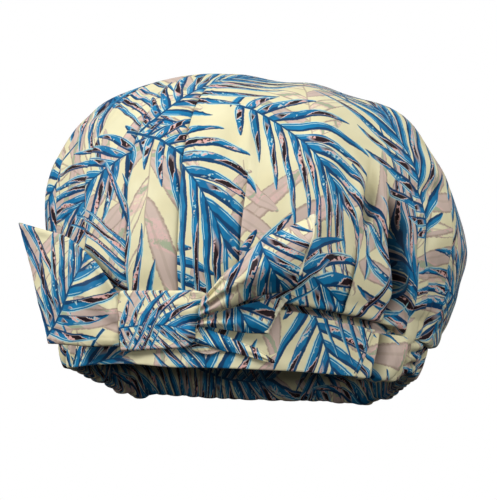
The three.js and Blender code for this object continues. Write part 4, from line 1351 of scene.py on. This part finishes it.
def build_wing():
    """A rounded, hollow cone of cloth, pinched at the knot and open at its right end."""
    p, n, u, v = patch_frame(WING_TOP, WING_BOTTOM, 72, 56)
    swell = (2.0 + 7.4 * smooth(0.02, 0.75, u)) * np.sin(math.pi * np.clip(v, 0, 1)) ** 0.72
    root = np.exp(-((u / 0.42) ** 2))
    rays = 1.25 * root * np.cos((v - 0.1) * 2 * math.pi * 2.6) * smooth(0.0, 0.08, u)
    f = wave(81, 16, 16, 46)
    x, z = p[..., 0], p[..., 2]
    ripples = 0.5 * f(x, z) * smooth(0.1, 0.5, u)
    curl = 1.6 * smooth(0.86, 1.0, u) * (np.cos(v * 2 * math.pi * 1.5))
    ways = edge_ways(p)
    lift = hem_relief(ways, (1,), 3.4, 0.25, 0.35)
    h = swell + rays + ripples + curl
    # the cone's lower edge rolls under towards the crown
    down = np.array([0, 0, -1.0])
    roll = 1.6 * (1 - smooth(0, 0.16, v)) * smooth(0.05, 0.4, u)
    front = p + n * (h + lift)[..., None] + down * roll[..., None]
    inner = p + n * (h - 0.75)[..., None] + down * (roll * 0.8)[..., None]
    back = p + n * (-(0.9 + 1.2 * np.sin(math.pi * v) * smooth(0.1, 0.6, u)) + 0.3 * ripples)[..., None]
    backin = back + n * 0.7
    # a loop round the cone: outside front, outside back; and the same inside, joined at the mouth
    outer = np.concatenate([front, back[:, ::-1][:, 1:-1]], axis=1)
    innerl = np.concatenate([inner, backin[:, ::-1][:, 1:-1]], axis=1)
    # the inside is kept clear of the outside at the root, where the cone is pinched
    k = smooth(0.04, 0.22, u)[..., None]
    mid = (inner + backin) / 2
    nv = outer.shape[1]
    centre = outer.mean(1, keepdims=True)
    innerl = np.where(np.linspace(0, 1, outer.shape[0])[:, None, None] < 0.10, lerp(centre, innerl, 0.25), innerl)
    cl_f = flat_place(p)
    width = np.linalg.norm(p[:, -1] - p[:, 0], axis=-1)
    cl_b = cl_f[:, ::-1][:, 1:-1] + np.array([0, 1.0]) * 70
    cl = np.concatenate([cl_f, cl_b], axis=1) * MM
    nu = outer.shape[0]
    pts = np.vstack([outer.reshape(-1, 3), innerl.reshape(-1, 3)])
    cloth = np.vstack([cl.reshape(-1, 2), cl.reshape(-1, 2)])
    nf = nu * nv
    faces = list(map(tuple, grid_faces(nu, nv, wrap_v=True))) + list(map(tuple, grid_faces(nu, nv, wrap_v=True, base=nf, flip=True)))
    last = (nu - 1) * nv
    for j in range(nv):
        j2 = (j + 1) % nv
        faces.append((last + j, last + j2, nf + last + j2, nf + last + j))
        faces.append((j2, j, nf + j, nf + j2))
    ob = mesh_object("bow_wing_cloth", pts, faces, cloth, None)
    outward(ob)
    # painted light: the last number brightens this piece's colour
    ob.data.materials.append(printed("printed_satin_wing", math.radians(65), (0.1326, 0.030), 1.15, 1.06))
    return ob, front, back


wing, wing_front, wing_back = build_wing()


def roll(name, path, radii, mat, seg=14, cloth=None, flatten=(1.0, 1.0)):
    """A rolled edge of cloth along a path, thicker where radii say so."""
    path = np.array(path, float)
    n = len(path)
    tan = np.gradient(path, axis=0)
    tan /= np.linalg.norm(tan, axis=1, keepdims=True)
    ref = np.array([0, -1.0, 0.15])
    a = np.cross(tan, ref)
    a /= np.linalg.norm(a, axis=1, keepdims=True)
    b = np.cross(a, tan)
    ang = np.linspace(0, 2 * math.pi, seg, endpoint=False)
    rings = path[:, None] + (np.cos(ang)[None, :, None] * a[:, None] * flatten[0] + np.sin(ang)[None, :, None] * b[:, None] * flatten[1]) * np.array(radii)[:, None, None]
    s = np.r_[0, np.cumsum(np.linalg.norm(np.diff(path, axis=0), axis=1))]
    cl = np.stack([s[:, None] + 0 * ang[None], ang[None] * 1.2 + 0 * s[:, None]], -1) * MM
    ob = sweep(name, rings, True, cl, None)
    ob.data.materials.append(mat)
    return ob


# pale turned edge at the wing's mouth, widest at its upper corner
edge = wing_front[-1, ::-1][:50]
k = np.linspace(0, 1, len(edge))
wob = 0.12 * np.sin(k * 31) + 0.1 * np.sin(k * 67 + 1)
wing_edge = roll("bow_wing_turned_edge", edge + np.array([0.25, 0, 0]), 0.5 + 1.5 * np.exp(-((k / 0.10) ** 2)) + 0.25 * np.exp(-(((k - 0.96) / 0.08) ** 2)) + wob * 0.4, MATS["pale"], flatten=(1.0, 0.6))

LOW_TOP = [[-9.0, -108.8, 23.6], [-5.6, -109.3, 24.4], [-1.4, -110.2, 26.2], [6.6, -110.8, 29.2], [16.2, -111.4, 32.2], [27.8, -111.6, 35.2], [40.0, -111.0, 37.0]]
LOW_BOTTOM = [[-9.2, -108.5, 20.6], [-5.8, -109.0, 21.6], [-1.6, -109.5, 21.6], [4.5, -109.4, 20.9], [11.9, -109.2, 19.8], [20.4, -109.0, 18.8], [30.2, -108.4, 18.8]]


def build_tail_right():
    p, n, u, v = patch_frame(LOW_TOP, LOW_BOTTOM, 48, 28)
    x, z = p[..., 0], p[..., 2]
    f = wave(91, 14, 12, 34)
    h = 1.2 * np.sin(math.pi * v) * smooth(0, 0.3, u) + 0.9 * np.cos((v - 0.3) * 2 * math.pi * 1.4) * smooth(0.05, 0.2, u) * (1 - 0.5 * u) + 0.3 * f(x, z)
    front = p + n * (h + 0.7)[..., None]
    backp = p + n * (h * 0.9 - 0.7)[..., None]
    return two_sided("bow_lower_tail_cloth", front, backp, flat_place(p) * MM, printed("printed_satin_lower_tail", math.radians(60), (0.118, 0.112)))


tail_right = build_tail_right()

line = np.stack(Profile([[40.2, -111.2, 37.2], [38.2, -111.2, 33.6], [35.6, -110.6, 29.2], [33.2, -109.8, 24.8], [30.6, -108.9, 18.9]]).at(np.linspace(0, 1, 40)), -1)
k = np.linspace(0, 1, 40)
tail_hem = roll("bow_lower_tail_turned_hem", line, 1.05 + 0.5 * np.exp(-((k / 0.12) ** 2)) + 0.12 * np.sin(k * 40), MATS["pale"], flatten=(1.15, 0.75))

STRAP_TOP = [[-9.4, -106.5, 20.8], [-6.0, -106.9, 21.2], [-1.3, -107.1, 20.2], [8.4, -106.6, 17.0], [17.6, -105.4, 13.4], [24.6, -104.1, 11.0], [29.6, -102.9, 7.8], [34.6, -101.4, 4.6]]
STRAP_BOTTOM = [[-9.6, -106.4, 9.6], [-6.4, -106.8, 8.4], [-1.6, -107.0, 7.2], [2.2, -106.8, 7.6], [6.0, -106.5, 9.0], [14.4, -105.7, 8.2], [25.6, -103.6, 5.5], [33.6, -101.6, 3.6]]


def build_strap():
    """The narrow strap: folded over where it leaves the wrap, and gathered to a point at the band's edge."""
    p, n, u, v = patch_frame(STRAP_TOP, STRAP_BOTTOM, 72, 30)
    x, z = p[..., 0], p[..., 2]
    h = 0.7 * np.sin(math.pi * v) + 0.3 * wave(95, 10, 8, 26)(x, z)
    # the lower half is a crumpled fold that dies out to the right
    low = (13.2 - 0.28 * (x + 7.4)) - z
    fold = 1 - smooth(2.0, 8.0, x)
    h = h + fold * (0.9 * np.exp(-(((low + 1.6) / 1.5) ** 2)) - 1.5 * smooth(-0.5, 0.5, low))
    h = h + 0.5 * np.cos((x + 0.6 * z) * 2 * math.pi / 4.6) * smooth(0.5, 2.0, low) * fold
    # creases that run into the point
    h = h + 0.5 * np.cos((v - 0.5) * 2 * math.pi * 1.6) * smooth(0.55, 0.9, u)
    end = smooth(1.0, 0.94, u)
    front = p + n * (h * (0.4 + 0.6 * end) + 0.55)[..., None]
    backp = p + n * (-0.35 + 0 * h)[..., None]
    flat = flat_place(p) + np.array([-32.0, 22.0]) * (low > 0.1)[..., None]
    # painted light: the last number brightens this piece's colour
    return two_sided("bow_strap_cloth", front, backp, flat * MM, printed("printed_satin_strap", math.radians(100), (0.256, 0.036), 1.2, 1.1))


strap = build_strap()

# ---------------------------------------------------------------- small CAD pieces keep their shape and get their own finish
for name, key in {
    "front_band_stiffener": "stiff",
    "band_seam_tape": "tape",
    "band_end_stitches_left": "blue_thread",
    "band_end_stitches_right": "blue_thread",
    "elastic_bar_tack_left": "pale_thread",
    "elastic_bar_tack_right": "pale_thread",
    "wrap_tack_thread": "blue_thread",
    "strap_tack_thread": "blue_thread",
}.items():
    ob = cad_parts[name]
    ob.data.materials.clear()
    ob.data.materials.append(MATS[key])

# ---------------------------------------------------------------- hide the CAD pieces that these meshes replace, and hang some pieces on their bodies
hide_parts("crown_shell")
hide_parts("crown_lining")
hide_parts("front_band_outer")
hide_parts("front_band_facing")
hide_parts("elastic_casing")
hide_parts("elastic_band")
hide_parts("bow_tail_left")
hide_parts("bow_wrap")
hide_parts("bow_wing_right")
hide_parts("bow_tail_right")
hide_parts("bow_tail_right_hem")
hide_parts("bow_strap")

for ob in (crown, liner, casing, elastic):
    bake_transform(ob)
for ob in (band, facing, wrap, strap):
    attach(ob, "root")
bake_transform(tail_left)
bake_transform(wing)
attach(wing_edge, "right_wing")
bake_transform(tail_right)
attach(tail_hem, "right_tail")

# ---------------------------------------------------------------- floor, light, sky
floor = bpy.data.objects.new("floor", bpy.data.meshes.new("floor"))
floor.data.from_pydata([(-4, -4, -0.32), (4, -4, -0.32), (4, 4, -0.32), (-4, 4, -0.32)], [], [(0, 1, 2, 3)])
scene.collection.objects.link(floor)
m, b = material("pale_floor")
at = node("ShaderNodeTexCoord").outputs["Object"]
N.tree.links.new(mix(noise(at, 6.0, 3.0), srgb(206, 206, 204), srgb(214, 214, 212)), b.inputs["Base Color"])
b.inputs["Roughness"].default_value = 0.9
floor.data.materials.append(m)
floor.visible_diffuse = False
floor.visible_glossy = False


def area(name, where, target, size, power, colour=(1, 1, 1)):
    data = bpy.data.lights.new(name, "AREA")
    data.shape = "RECTANGLE"
    data.size, data.size_y = size
    data.energy = power
    data.color = colour
    ob = bpy.data.objects.new(name, data)
    scene.collection.objects.link(ob)
    ob.location = where
    ob.rotation_mode = "QUATERNION"
    ob.rotation_quaternion = (Vector(target) - Vector(where)).to_track_quat("-Z", "Y")
    return ob


area("key", (-1.75, -1.25, 1.00), (0, 0, 0.08), (0.7, 0.7), 37)
area("fill", (0.75, -1.65, 1.30), (0, 0, 0.08), (0.9, 0.9), 10.5)
area("side", (1.75, -0.75, 0.75), (0, 0, 0.08), (0.8, 0.8), 13)
area("top", (0.4, 0.2, 1.8), (0, 0, 0.1), (1.2, 1.2), 4)
area("low", (-0.1, -1.9, -0.22), (0, 0.05, 0.03), (1.2, 0.5), 6.5)

world = bpy.data.worlds.new("world")
scene.world = world
world.use_nodes = True
world.node_tree.nodes.clear()
N.tree = world.node_tree
out = node("ShaderNodeOutputWorld")
direction = node("ShaderNodeTexCoord").outputs["Generated"]
_, _, dz = xyz(direction)
ramp = mad(dz, 0.5, 0.5, clamp=True)
light = node("ShaderNodeBackground")
N.tree.links.new(mix(ramp, (0.75, 0.77, 0.8), (1, 1, 1)), light.inputs[0])
plug(mad(op("POWER", ramp, 3.0), 0.60, 0.02), light.inputs[1])
white = node("ShaderNodeBackground")
white.inputs[0].default_value = (1, 1, 1, 1)
white.inputs[1].default_value = 1.0
both = node("ShaderNodeMixShader")
N.tree.links.new(node("ShaderNodeLightPath").outputs["Is Camera Ray"], both.inputs[0])
N.tree.links.new(light.outputs[0], both.inputs[1])
N.tree.links.new(white.outputs[0], both.inputs[2])
N.tree.links.new(both.outputs[0], out.inputs[0])
scene.view_settings.view_transform = "Standard"
scene.view_settings.look = "None"
scene.view_settings.exposure = 0
scene.view_settings.gamma = 1
